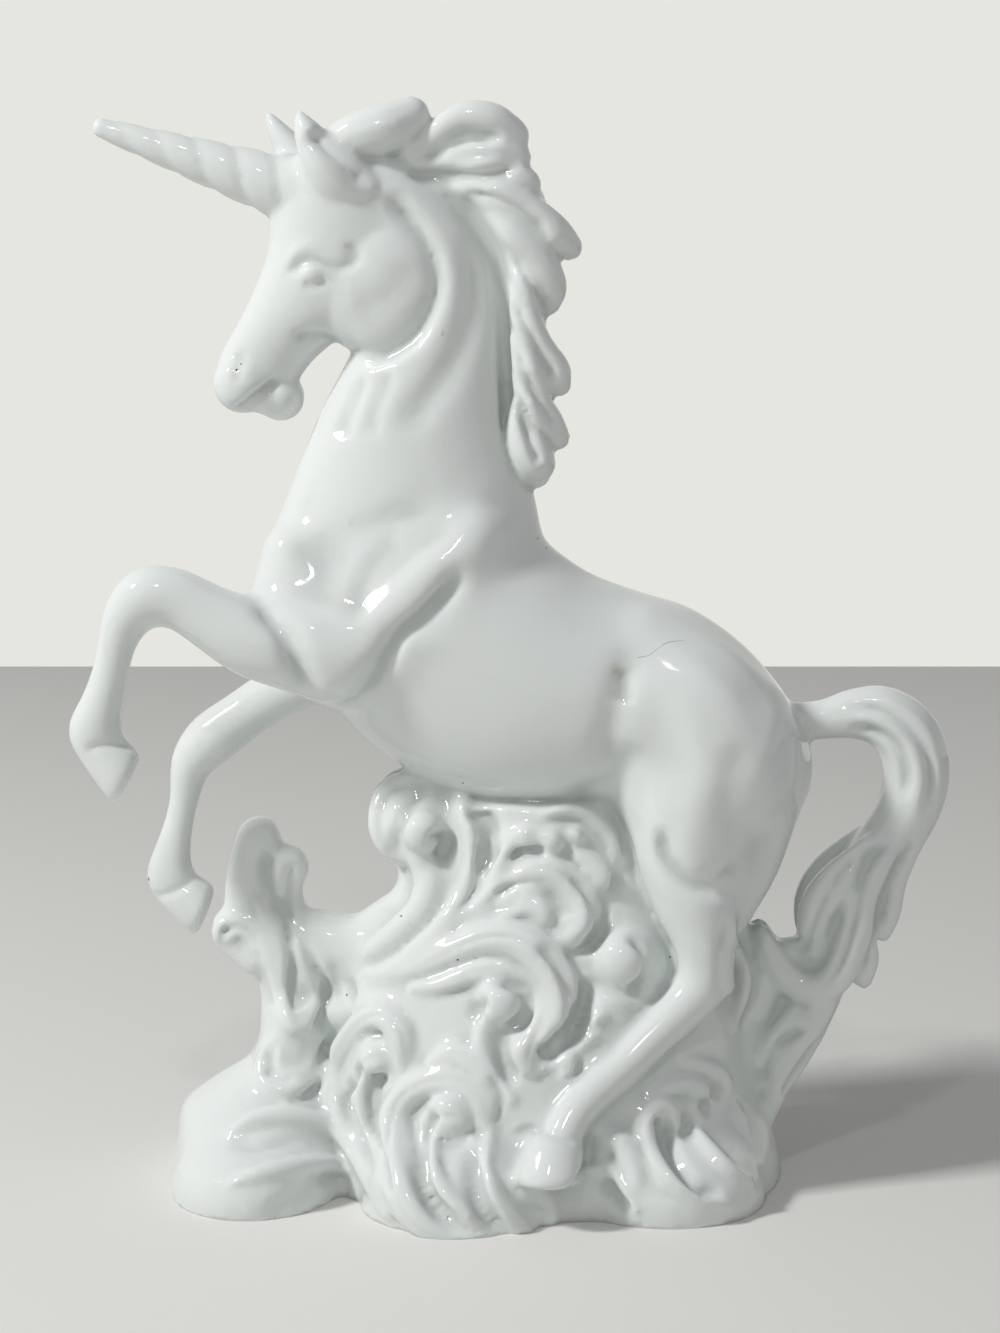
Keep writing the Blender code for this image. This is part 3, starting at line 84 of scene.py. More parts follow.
# The pool colour is the hollows' colour: partly a glaze pooling tint, partly painted shade.
glazeSettings = {
    "body": "#E1E5E3", "poolAndShade": "#CBD1CE", "speck": "#3A3532", "stain": "#C9BFA9",
    "roughness": 0.06, "refraction": 1.5, "ripple": 0.00012, "rippleSize": 0.0045,
    "rippleStrength": 0.35, "poolAndShadeDepth": 0.00004, "poolAndShadePasses": 6}
# Dark specks in the glaze, and one pale brown stain: place and radius in millimetres
speckSpots = [
    (-75.2, 10.5, 59.2, 0.50), (-54.4, -5.6, 164.4, 0.30), (-53.8, -5.6, 163.4, 0.28),
    (-53.6, -5.0, 165.5, 0.22), (2.8, -4.9, 130.6, 0.26), (4.4, -4.6, 131.2, 0.28),
    (6.1, -4.0, 129.2, 0.36), (7.9, -3.2, 127.2, 0.34), (-10.3, -11.0, 83.4, 0.30),
    (-22.6, -12.3, 56.8, 0.30), (-33.8, -6.5, 39.2, 0.28), (-11.3, -19.2, 49.6, 0.30),
    (30.7, -13.3, 48.7, 0.25), (11.2, -14.3, 70.2, 0.25)]
stainSpot = (19.4, -18.1, 107.3, 1.5)


def addNode(tree, kind, settings=None, links=None):
    # One node with its settings and the sockets that feed it.
    node = tree.nodes.new(kind)
    for name, value in (settings or {}).items():
        if name in node.inputs:
            node.inputs[name].default_value = value
        else:
            setattr(node, name, value)
    for name, source in (links or {}).items():
        tree.links.new(source, node.inputs[name])
    return node


def maths(tree, operation, first, second=0.0):
    # One maths node, fed by sockets or numbers.
    node = addNode(tree, "ShaderNodeMath", {"operation": operation})
    for socket, value in zip(node.inputs, (first, second)):
        if isinstance(value, (int, float)):
            socket.default_value = value
        else:
            tree.links.new(value, socket)
    return node.outputs[0]


def spotShare(tree, where, spot):
    # 1 in the middle of a round spot and 0 outside it, with a soft rim.
    x, y, z, radius = [value / 1000 for value in spot]
    away = addNode(tree, "ShaderNodeVectorMath", {"operation": "DISTANCE"}, {"Vector": where})
    away.inputs[1].default_value = (x, y, z)
    inside = addNode(tree, "ShaderNodeMapRange", {"From Min": radius, "From Max": radius / 2},
                     {"Value": away.outputs["Value"]})
    return inside.outputs["Result"]


def colourOver(tree, share, under, code):
    # A colour laid over what is under it, by a share.
    mix = addNode(tree, "ShaderNodeMix", {"data_type": "RGBA", "B": hexToLinear(code)},
                  {"Factor": share, "A": under})
    return mix.outputs["Result"]


def glazedPorcelain():
    # Slip-cast porcelain under a clear glossy glaze: cool white, painted darker in the hollows, where the
    # darker colour is partly the glaze's pooling tint and partly painted shade.
    material = bpy.data.materials.new("glazed slip-cast porcelain")
    material.use_nodes = True
    tree = material.node_tree
    shader = tree.nodes["Principled BSDF"]
    shader.inputs["Metallic"].default_value = 0.0
    shader.inputs["Roughness"].default_value = glazeSettings["roughness"]
    shader.inputs["IOR"].default_value = glazeSettings["refraction"]
    where = addNode(tree, "ShaderNodeTexCoord").outputs["Object"]
    poolAndShade = addNode(tree, "ShaderNodeAttribute", {"attribute_name": "poolingAndShade"})
    # The body colour goes darker by the hollow measure: a slight glaze pooling tint and painted shade in
    # one.
    poolTintAndShade = addNode(tree, "ShaderNodeMix", {
        "data_type": "RGBA", "A": hexToLinear(glazeSettings["body"]),
        "B": hexToLinear(glazeSettings["poolAndShade"])}, {"Factor": poolAndShade.outputs["Fac"]})
    ripple = addNode(tree, "ShaderNodeTexNoise",
                     {"Scale": 1 / glazeSettings["rippleSize"], "Detail": 1.0}, {"Vector": where})
    bump = addNode(tree, "ShaderNodeBump", {"Strength": glazeSettings["rippleStrength"],
                                            "Distance": glazeSettings["ripple"]},
                   {"Height": ripple.outputs["Fac"]})
    marks = spotShare(tree, where, speckSpots[0])
    for speck in speckSpots[1:]:
        marks = maths(tree, "MAXIMUM", marks, spotShare(tree, where, speck))
    faint = maths(tree, "MULTIPLY", spotShare(tree, where, stainSpot), ripple.outputs["Fac"])
    colour = colourOver(tree, faint, poolTintAndShade.outputs["Result"], glazeSettings["stain"])
    colour = colourOver(tree, marks, colour, glazeSettings["speck"])
    tree.links.new(colour, shader.inputs["Base Color"])
    tree.links.new(bump.outputs["Normal"], shader.inputs["Normal"])
    return material


def plainMaterial(name, code, roughness):
    material = bpy.data.materials.new(name)
    material.use_nodes = True
    shader = material.node_tree.nodes["Principled BSDF"]
    shader.inputs["Base Color"].default_value = hexToLinear(code)
    shader.inputs["Roughness"].default_value = roughness
    return material


porcelain = glazedPorcelain()
print("glaze mixed")

# The figurine's form. Its points were drawn in millimetres at the drawn size.
figureSize = {"length": 0.1743, "depth": 0.0823, "height": 0.2170,
              "drawnLength": 174.3, "drawnDepth": 82.3, "drawnHeight": 217.0}
drawnUnit = np.array([figureSize["length"] / figureSize["drawnLength"],
                      figureSize["depth"] / figureSize["drawnDepth"],
                      figureSize["height"] / figureSize["drawnHeight"]])


# Helpers for points

def placed(rows, size=1.0):
    # Drawn (x, y, z, share) rows as places in metres and radii, which are shares of a size.
    rows = np.array(rows, dtype=float)
    rows[:, :3] *= drawnUnit
    rows[:, 3:] *= size
    return rows


def flat(rows, size=1.0):
    # Drawn (x, z, share) rows, which are laid on the skin later.
    return placed([(x, 0.0, z, share) for x, z, share in rows], size)


def mirrored(rows, side):
    rows = np.array(rows, dtype=float)
    rows[:, 1] *= side
    return rows


def smoothRows(rows, steps=5):
    # Catmull-Rom curve through the rows, which hold a place and any other values.
    rows = np.asarray(rows, dtype=float)
    padded = np.vstack([2 * rows[0] - rows[1], rows, 2 * rows[-1] - rows[-2]])
    curve = []
    for index in range(1, len(padded) - 2):
        before, start, end, after = padded[index - 1:index + 3]
        for step in range(steps):
            t = step / steps
            curve.append(0.5 * (2 * start + (end - before) * t
                                + (2 * before - 5 * start + 4 * end - after) * t ** 2
                                + (3 * start - before - 3 * end + after) * t ** 3))
    curve.append(rows[-1])
    return np.array(curve)


def drawnLine(points):
    # A smooth line through drawn (x, z) points, which is laid on the skin later.
    return smoothRows(flat([(x, z, 0) for x, z in points]))


def drawnStrokes(lines, size):
    return [smoothRows(placed(rows, size)) for rows in lines]


def rounded(rows):
    # Adds a domed end at both ends of a stroke.
    def dome(end, inner):
        along = end[:3] - inner[:3]
        along = along / np.linalg.norm(along)
        cap = []
        for angle in (30, 60, 80):
            turn = math.radians(angle)
            place = end[:3] + along * end[3] * math.sin(turn)
            cap.append(np.append(place, end[3] * math.cos(turn)))
        return cap

    start = dome(rows[0], rows[1])[::-1]
    finish = dome(rows[-1], rows[-2])
    return np.vstack([start, rows, finish])


# Helpers for pieces

def addSpline(curve, rows):
    spline = curve.splines.new("POLY")
    spline.points.add(len(rows) - 1)
    for point, row in zip(spline.points, rows):
        point.co = (row[0], row[1], row[2], 1.0)
    return spline


def curvePiece(name, strokes):
    # Round strokes whose radius changes along the way.
    curve = bpy.data.curves.new(name, "CURVE")
    curve.dimensions = "3D"
    curve.bevel_depth = 1.0
    curve.bevel_resolution = 3
    curve.use_fill_caps = True
    for stroke in strokes:
        rows = rounded(stroke)
        for point, row in zip(addSpline(curve, rows).points, rows):
            point.radius = row[3]
    return addPiece(name, curve)


def meshPiece(name, form):
    mesh = bpy.data.meshes.new(name)
    bmesh.ops.recalc_face_normals(form, faces=form.faces)
    form.to_mesh(mesh)
    form.free()
    return addPiece(name, mesh)


def ringPiece(name, rings):
    # A closed skin over rings of equal count, which are unlike sections of one form.
    form = bmesh.new()
    loops = []
    for ring in rings:
        loops.append([form.verts.new(place) for place in ring])
    for lower, upper in zip(loops, loops[1:]):
        count = len(lower)
        for index in range(count):
            after = (index + 1) % count
            form.faces.new((lower[index], lower[after], upper[after], upper[index]))
    form.faces.new(loops[0][::-1])
    form.faces.new(loops[-1])
    return meshPiece(name, form)


def loftPiece(name, stations, halfWidth, sides=44):
    # Oval sections, each from a lower to an upper outline point in the XZ plane.
    # A station is (lower x, lower z, upper x, upper z, width as a share, shift in y).
    rings = []
    for lowX, lowZ, highX, highZ, share, shift in smoothRows(stations, 8):
        middle = np.array([(lowX + highX) / 2, shift, (lowZ + highZ) / 2]) * drawnUnit
        rise = np.array([(highX - lowX) / 2, 0, (highZ - lowZ) / 2]) * drawnUnit
        ring = []
        for index in range(sides):
            angle = 2 * math.pi * index / sides
            side = np.array([0, halfWidth * share * math.sin(angle), 0])
            ring.append(middle + rise * math.cos(angle) + side)
        rings.append(ring)
    return ringPiece(name, rings)


def stackPiece(name, rows, halfLength, steps, sides=48):
    # Flat ovals stacked upward. A row is (drawn x, drawn z, length as a share, depth as a share).
    rings = []
    for shift, z, length, share in smoothRows(rows, steps):
        middle = np.array([shift, 0, z]) * drawnUnit
        ring = []
        for index in range(sides):
            angle = 2 * math.pi * index / sides
            ring.append(middle + np.array([halfLength * length * math.cos(angle),
                                           waveSettings["moundHalfDepth"] * share * math.sin(angle), 0]))
        rings.append(ring)
    return ringPiece(name, rings)


def ballPiece(name, balls):
    # Ovals, each (x, y, z, radius x, radius y, radius z) in metres.
    form = bmesh.new()
    for x, y, z, wide, deep, tall in balls:
        made = bmesh.ops.create_uvsphere(form, u_segments=24, v_segments=16, radius=1.0)
        for vertex in made["verts"]:
            place = vertex.co
            vertex.co = (x + place.x * wide, y + place.y * deep, z + place.z * tall)
    return meshPiece(name, form)


def meshOf(piece):
    # The piece's mesh as its modifiers leave it.
    depsgraph = bpy.context.evaluated_depsgraph_get()
    return bpy.data.meshes.new_from_object(piece.evaluated_get(depsgraph))


def applyModifiers(piece):
    mesh = meshOf(piece)
    piece.modifiers.clear()
    piece.data = mesh


def toForm(pieces):
    # Joins the pieces, still overlapping, in one bmesh, and removes their objects.
    form = bmesh.new()
    for piece in pieces:
        mesh = meshOf(piece)
        form.from_mesh(mesh)
        bpy.data.meshes.remove(mesh)
    bmesh.ops.remove_doubles(form, verts=form.verts, dist=0.00001)
    for piece in pieces:
        bpy.data.objects.remove(piece)
    return form


skinSettings = {
    "grid": 0.0006, "bodyFillet": 0.0050, "bodySmoothing": 0.0026, "figureFillet": 0.0007,
    "smoothing": 0.0010, "passScale": 2.2, "normalsEvery": 8, "drapeFrom": 0.2, "drapePasses": 3,
    "triangles": 190000}


def fuse(name, pieces):
    # One closed skin over all the pieces.
    body = meshPiece(name, toForm(pieces))
    remesh = body.modifiers.new("Skin", "REMESH")
    remesh.mode = "VOXEL"
    remesh.voxel_size = skinSettings["grid"]
    remesh.use_smooth_shade = True
    applyModifiers(body)
    return body


def placesOf(mesh):
    places = np.empty(len(mesh.vertices) * 3)
    mesh.vertices.foreach_get("co", places)
    return places.reshape(-1, 3)


def normalsOf(mesh):
    normals = np.empty(len(mesh.vertices) * 3)
    mesh.vertex_normals.foreach_get("vector", normals)
    return normals.reshape(-1, 3)


def setPlaces(mesh, places):
    mesh.vertices.foreach_set("co", places.ravel())
    mesh.update()


def skinOf(body):
    form = bmesh.new()
    form.from_mesh(body.data)
    tree = BVHTree.FromBMesh(form)
    form.free()
    return tree


def neighbourMean(mesh):
    # Gives a function that takes one value per vertex and returns its neighbours' mean.
    edges = np.empty(len(mesh.edges) * 2, dtype=np.int64)
    mesh.edges.foreach_get("vertices", edges)
    first, second = edges.reshape(-1, 2).T
    count = len(mesh.vertices)
    links = np.bincount(first, minlength=count) + np.bincount(second, minlength=count)

    def mean(values):
        if values.ndim > 1:
            return np.stack([mean(column) for column in values.T], axis=1)
        return (np.bincount(first, values[second], count)
                + np.bincount(second, values[first], count)) / links

    return mean


def soften(body, reach, fillOnly):
    # Moves each vertex toward its neighbours' mean; fillOnly lets only hollows move, outward.
    passes = round(skinSettings["passScale"] * (reach / skinSettings["grid"]) ** 2)
    mesh = body.data
    mean = neighbourMean(mesh)
    places, normals = placesOf(mesh), normalsOf(mesh)
    for step in range(1, passes + 1):
        shift = (mean(places) - places) * 0.5
        if fillOnly:
            lift = np.maximum((shift * normals).sum(axis=1), 0)
            shift = normals * lift[:, None]
        places = places + shift
        if fillOnly and step % skinSettings["normalsEvery"] == 0:
            setPlaces(mesh, places)
            normals = normalsOf(mesh)
    setPlaces(mesh, places)


def drape(rows, skin, side, sink=0.0):
    # Lays rows of (x, any y, z, radius) on the skin, seen from the near (-1) or far (+1) side.
    laid = []
    for x, _, z, radius in rows:
        start = Vector((x, side * skinSettings["drapeFrom"], z))
        hit = skin.ray_cast(start, Vector((0, -side, 0)))[0]
        if hit is not None:
            laid.append((x, hit.y - side * radius * sink, z, radius))
    laid = np.array(laid)
    for step in range(skinSettings["drapePasses"] if len(laid) > 2 else 0):
        laid[1:-1, 1] = (laid[:-2, 1] + 2 * laid[1:-1, 1] + laid[2:, 1]) / 4
    return laid


carvingSettings = {"lineWidth": 0.0016, "lineDepth": 0.0012, "reach": 2, "endFade": 6}


def carve(places, normals, rows, depth, width):
    # Presses a round-edged line into the skin along the rows, and fades it out at both ends.
    # The depth is one value or one per row, and a negative depth raises the skin.
    line = rows[:, :3]
    low = line.min(axis=0) - carvingSettings["reach"] * width
    high = line.max(axis=0) + carvingSettings["reach"] * width
    near = np.where(np.all((places > low) & (places < high), axis=1))[0]
    if len(near) == 0:
        return
    spans = line[1:] - line[:-1]
    lengths = np.maximum((spans ** 2).sum(axis=1), 1e-12)
    gaps = places[near][:, None, :] - line[None, :-1, :]
    shares = np.clip((gaps * spans[None, :, :]).sum(axis=2) / lengths, 0, 1)
    distance = np.linalg.norm(gaps - shares[:, :, None] * spans[None, :, :], axis=2)
    nearest = distance.argmin(axis=1)
    share = shares[np.arange(len(near)), nearest]
    along = (nearest + share) / len(spans)
    fade = np.clip(np.minimum(along, 1 - along) * carvingSettings["endFade"], 0, 1)
    depth = np.broadcast_to(depth, len(line))
    depth = depth[nearest] + (depth[nearest + 1] - depth[nearest]) * share
    press = np.exp(-(distance.min(axis=1) / width) ** 2) * depth * fade
    places[near] -= normals[near] * press[:, None]


def carveLines(body, lines, hollows=()):
    # Carves the lines into both faces, and then the small hollows.
    skin = skinOf(body)
    places, normals = placesOf(body.data), normalsOf(body.data)
    lineWidth, lineDepth = carvingSettings["lineWidth"], carvingSettings["lineDepth"]
    for side in (-1, 1):
        for width, depth, points in lines:
            laid = drape(drawnLine(points), skin, side)
            if len(laid) > 2:
                carve(places, normals, laid, lineDepth * depth, lineWidth * width)
        for width, depth, x, z in hollows:
            for spot in drape(flat([(x, z, 0)]), skin, side):
                gap = np.linalg.norm(places - spot[:3], axis=1) / (lineWidth * width)
                places[:, 1] -= side * lineDepth * depth * np.exp(-gap ** 2)
    setPlaces(body.data, places)


# Helpers for Geometry Nodes

def newTree(name, inputs):
    # A tree with named inputs. Gives it, each input's identifier, and the sockets that carry the inputs.
    tree = bpy.data.node_groups.new(name, "GeometryNodeTree")
    identifiers = {}
    for label, kind in inputs.items():
        socket = tree.interface.new_socket(label, in_out="INPUT", socket_type="NodeSocket" + kind)
        identifiers[label] = socket.identifier
    tree.interface.new_socket("Geometry", in_out="OUTPUT", socket_type="NodeSocketGeometry")
    return tree, identifiers, tree.nodes.new("NodeGroupInput").outputs


def endTree(tree, geometry, material):
    # Every tree ends with real geometry and its material.
    whole = addNode(tree, "GeometryNodeRealizeInstances", {}, {"Geometry": geometry})
    painted = addNode(tree, "GeometryNodeSetMaterial", {},
                      {"Geometry": whole.outputs["Geometry"], "Material": material})
    addNode(tree, "NodeGroupOutput", {}, {"Geometry": painted.outputs["Geometry"]})


def treeMesh(piece, tree, identifiers, values):
    # The mesh that the tree makes of the piece with these values.
    modifier = piece.modifiers.new(tree.name, "NODES")
    modifier.node_group = tree
    for label, value in values.items():
        modifier[identifiers[label]] = value
    return meshOf(piece)


# The horse

bodySettings = {"barrelHalfWidth": 0.0212, "muscleRadius": 0.0100, "nearMuscleDepth": 15.0,
                "farMuscleDepth": 12.5, "forelegRadius": 0.0083, "thighRadius": 0.0165,
                "hoofRadius": 0.0062, "hoofSides": 24}


def barrel():
    return loftPiece("barrel", [
        (-46, 112, -44, 126, 0.36, 0),
        (-42, 103, -35, 134, 0.68, 0),
        (-34, 98, -22, 140, 0.86, 0),
        (-25, 88.5, -5, 137, 0.95, 0),
        (-13, 81, 8, 130.5, 1.00, 0),
        (-3, 78, 17.5, 124, 1.02, 0),
        (9, 77, 28, 120, 1.00, 0),
        (21, 78, 38, 116.8, 0.98, 0),
        (31, 76, 48.5, 109.5, 0.98, 0),
        (40, 72, 57, 99.5, 0.90, 0),
        (49, 67, 62.5, 88, 0.62, 0),
        (56, 71, 62.5, 80, 0.28, 0)], bodySettings["barrelHalfWidth"])


headSettings = {"earHalfDepth": 0.0052, "eyeRadius": 0.0024, "browRadius": 0.0015, "jawRadius": 0.0103,
                "cheekRadius": 0.0125, "cheekHalfWidth": 0.0112, "cheekInset": 0.25,
                "headHalfWidth": 0.0098, "muzzleRadius": 0.0060, "chinRadius": 0.0048,
                "neckHalfWidth": 0.0125}


def neck():
    return loftPiece("neck", [
        (-44, 112, 8, 118, 1.32, 0),
        (-48, 125, 8, 133, 1.30, 0),
        (-43.5, 137, 6.5, 141, 1.18, 0),
        (-39.5, 147, 4, 150, 1.06, 0),
        (-35.5, 156.5, 2, 160, 0.98, 0),
        (-31, 165, 1.3, 173, 0.88, 0),
        (-27, 174, -0.8, 185, 0.78, 0),
        (-27, 186, -5.8, 194, 0.72, 0),
        (-31, 195, -13, 201, 0.68, 0),
        (-33, 202, -21, 207.5, 0.56, 0)], headSettings["neckHalfWidth"])


def skull():
    return loftPiece("skull", [
        (-23, 204, -34, 210.0, 0.45, 0),
        (-19, 199, -41.5, 205, 0.80, 0),
        (-17.5, 192, -45.0, 197, 0.94, 0),
        (-17, 184, -45.8, 188, 1.00, 0),
        (-22, 175, -48.4, 180.5, 0.93, 0),
        (-31, 170.5, -51.4, 174.5, 0.78, 0),
        (-37, 165.5, -54.8, 168.6, 0.66, 0),
        (-40, 161, -56.6, 164.5, 0.60, 0),
        (-42, 157, -55.8, 159.8, 0.54, 0)], headSettings["headHalfWidth"])


def oval(centre, radius, flatness, tall=1.0):
    # A ball whose middle is a drawn point; flatness is its depth as a share of its radius.
    x, y, z = np.array(centre) * drawnUnit
    return x, y, z, radius, radius * flatness, radius * tall


def face():
    # Cheeks, jaw, muzzle, chin and eyes.
    chin, cheek = headSettings["chinRadius"], headSettings["cheekRadius"]
    cheekDepth = headSettings["cheekHalfWidth"] / cheek - headSettings["cheekInset"]
    balls = [oval((-43.4, 0, 158.8), chin, 1.1), oval((-46.8, 0, 159.4), chin * 0.85, 1.2)]
    for side in (-1, 1):
        balls.append(oval((-25.8, side * 2.5, 180.4), cheek, cheekDepth, 1.02))
        balls.append(oval((-50.6, side * 2.4, 161.6), headSettings["muzzleRadius"], 0.80))
        balls.append(oval((-22.6, side * 6.6, 180.4), headSettings["jawRadius"], 0.40, 1.24))
        balls.append(oval((-36.2, side * 8.5, 183.2), headSettings["eyeRadius"], 0.72, 0.80))
    return ballPiece("face", balls)


def brows():
    strokes = []
    for side in (-1, 1):
        strokes.append(smoothRows(mirrored(placed([
            (-41.5, 6.6, 184.5, 0.6), (-39.0, 7.5, 187.4, 0.9), (-35.0, 8.0, 188.8, 1.0),
            (-31.0, 8.2, 188.4, 0.9), (-28.0, 8.0, 190.4, 0.7)], headSettings["browRadius"]), side)))
    return curvePiece("brows", strokes)


def ears():
    # The near ear leans forward, the far one shows its tip behind the horn.
    near = loftPiece("near ear", [
        (-36.5, 196.0, -22.5, 197.0, 0.80, -4.6),
        (-37.6, 200.0, -23.0, 200.2, 0.95, -6.2),
        (-38.8, 204.4, -26.0, 204.4, 1.00, -7.2),
        (-39.7, 209.0, -32.3, 209.4, 0.70, -7.6),
        (-39.8, 212.0, -35.8, 212.4, 0.42, -7.6),
        (-39.4, 214.2, -38.4, 214.4, 0.14, -7.6)], headSettings["earHalfDepth"])
    far = loftPiece("far ear", [
        (-41.0, 199.0, -28.0, 201.5, 0.90, 5.0),
        (-43.6, 203.6, -34.0, 205.4, 0.85, 5.8),
        (-45.4, 208.6, -39.6, 209.8, 0.62, 6.4),
        (-46.4, 212.2, -43.2, 212.8, 0.38, 6.8),
        (-46.4, 214.2, -45.4, 214.6, 0.14, 7.0)], headSettings["earHalfDepth"])
    return [near, far]


hornSettings = {"root": (-44.0, 0, 200.1), "lean": (-0.951, 0, 0.309), "length": 0.0375,
                "radius": 0.0062, "tipRadius": 0.0019, "rootSink": 0.0050, "domeShare": 0.03,
                "domeLeast": 0.02, "twistLength": 0.0160, "twistStart": 0.0068,
                "grooveDepth": 0.0010, "grooveEdge": 3.0, "sides": 48, "steps": 110}


def hornTree():
    # A tapering rod with two grooves that wind around it. The rod stands on its root, along Z.
    tree, identifiers, sizes = newTree("twisted horn", {
        "Length": "Float", "Root Radius": "Float", "Tip Radius": "Float", "Root Sink": "Float",
        "Twist Length": "Float", "Twist Start": "Float", "Groove Depth": "Float", "Sides": "Int",
        "Steps": "Int", "Material": "Material"})

    def calc(operation, first, second=0.0):
        return maths(tree, operation, first, second)

    depth = calc("ADD", sizes["Length"], sizes["Root Sink"])
    rod = addNode(tree, "GeometryNodeMeshCylinder", {"Radius": 1.0},
                  {"Vertices": sizes["Sides"], "Side Segments": sizes["Steps"], "Depth": depth})
    position = tree.nodes.new("GeometryNodeInputPosition").outputs[0]
    place = addNode(tree, "ShaderNodeSeparateXYZ", {}, {"Vector": position}).outputs
    reach = calc("SUBTRACT", calc("ADD", place["Z"], calc("MULTIPLY", depth, 0.5)), sizes["Root Sink"])
    share = calc("DIVIDE", reach, sizes["Length"])
    change = calc("SUBTRACT", sizes["Tip Radius"], sizes["Root Radius"])
    taper = calc("ADD", sizes["Root Radius"], calc("MULTIPLY", change, share))
    # The last of the length closes in a dome.
    past = calc("SUBTRACT", share, 1 - hornSettings["domeShare"])
    past = calc("MAXIMUM", calc("DIVIDE", past, hornSettings["domeShare"]), 0.0)
    left = calc("SUBTRACT", 1.0, calc("MULTIPLY", past, past))
    dome = calc("SQRT", calc("MAXIMUM", left, hornSettings["domeLeast"]))
    turn = calc("ARCTAN2", place["Y"], place["X"])
    twisted = calc("MULTIPLY", calc("SUBTRACT", reach, sizes["Twist Start"]), 2 * math.pi)
    wind = calc("DIVIDE", twisted, sizes["Twist Length"])
    edge = calc("SUBTRACT", 1.0, calc("ABSOLUTE", calc("SINE", calc("SUBTRACT", turn, wind))))
    cut = calc("DIVIDE", calc("MULTIPLY", sizes["Groove Depth"], taper), sizes["Root Radius"])
    groove = calc("MULTIPLY", calc("POWER", edge, hornSettings["grooveEdge"]), cut)
    radius = calc("SUBTRACT", calc("MULTIPLY", taper, dome), groove)
    moved = addNode(tree, "ShaderNodeCombineXYZ", {}, {
        "X": calc("MULTIPLY", place["X"], radius), "Y": calc("MULTIPLY", place["Y"], radius),
        "Z": reach})
    shaped = addNode(tree, "GeometryNodeSetPosition", {},
                     {"Geometry": rod.outputs["Mesh"], "Position": moved.outputs["Vector"]})
    endTree(tree, shaped.outputs["Geometry"], sizes["Material"])
    return tree, identifiers


def horn():
    # The rod is made upright and then leaned forward from the forehead.
    tree, identifiers = hornTree()
    piece = addPiece("horn", bpy.data.meshes.new("horn"))
    mesh = treeMesh(piece, tree, identifiers, {
        "Length": hornSettings["length"], "Root Radius": hornSettings["radius"],
        "Tip Radius": hornSettings["tipRadius"], "Root Sink": hornSettings["rootSink"],
        "Twist Length": hornSettings["twistLength"], "Twist Start": hornSettings["twistStart"],
        "Groove Depth": hornSettings["grooveDepth"], "Sides": hornSettings["sides"],
        "Steps": hornSettings["steps"], "Material": porcelain})
    piece.modifiers.clear()
    piece.data = mesh
    root = np.array(hornSettings["root"]) * drawnUnit
    along = np.array(hornSettings["lean"])
    across = np.array([0, 1.0, 0])
    places = placesOf(mesh)
    setPlaces(mesh, root + places[:, :1] * across + places[:, 1:2] * np.cross(along, across)
              + places[:, 2:] * along)
    return piece


def hoof(name, top, heading, sole, facing, width=1.0):
    # A wall between the coronet and the sole, which need not be parallel.
    top, sole = np.array(top) * drawnUnit, np.array(sole) * drawnUnit
    heading, facing = np.array(heading, dtype=float), np.array(facing, dtype=float)
    rings = []
    for share, size in ((0.0, 0.74), (0.35, 0.84), (0.90, 1.0), (1.0, 0.93)):
        normal = heading + (facing - heading) * share
        normal = normal / np.linalg.norm(normal)
        across = np.cross(normal, (0.35, 1.0, 0.35))
        across = across / np.linalg.norm(across)
        upward = np.cross(normal, across)
        ring = []
        for index in range(bodySettings["hoofSides"]):
            angle = 2 * math.pi * index / bodySettings["hoofSides"]
            turn = across * math.cos(angle) + upward * math.sin(angle)
            ring.append(top + (sole - top) * share + turn * bodySettings["hoofRadius"] * size * width)
        rings.append(ring)
    return ringPiece(name, rings)


def nearForeleg():
    leg = placed([
        (-30.5, -11.6, 109.5, 1.45), (-40, -14.0, 111.2, 1.17), (-48.7, -15.0, 113, 1.0),
        (-56.8, -15.5, 117.2, 0.81), (-63.5, -15.5, 121, 0.74), (-69.0, -15.5, 121.0, 0.75),
        (-73.0, -15.5, 116.4, 0.62), (-75.0, -15.5, 110.8, 0.49), (-76.4, -15.5, 104.7, 0.50),
        (-78.2, -15.5, 98.9, 0.58), (-79.6, -15.5, 94.6, 0.67), (-79.0, -15.5, 91.4, 0.58)],
        bodySettings["forelegRadius"])
    return [curvePiece("near foreleg", [smoothRows(leg)]),
            hoof("near fore hoof", (-79.6, -15.5, 92.6), (0.45, 0, -0.89), (-72.6, -15.5, 84.4),
                 (0.89, 0, -0.46))]


def farForeleg():
    leg = placed([
        (-32, 9.6, 105, 0.95), (-43.5, 11.0, 99, 0.74), (-52.1, 12, 93.4, 0.68),
        (-59.4, 12, 87.9, 0.72), (-63.6, 12, 82.8, 0.57), (-64.8, 12, 76.5, 0.43),
        (-66.3, 12, 70.2, 0.42), (-67.7, 12, 64.2, 0.52), (-68.4, 12, 59.8, 0.63),
        (-67.6, 12, 57.2, 0.56)], bodySettings["forelegRadius"])
    return [curvePiece("far foreleg", [smoothRows(leg)]),
            hoof("far fore hoof", (-68.4, 12, 58.2), (0.50, 0, -0.86), (-60.6, 12, 51.6),
                 (0.93, 0, -0.36))]


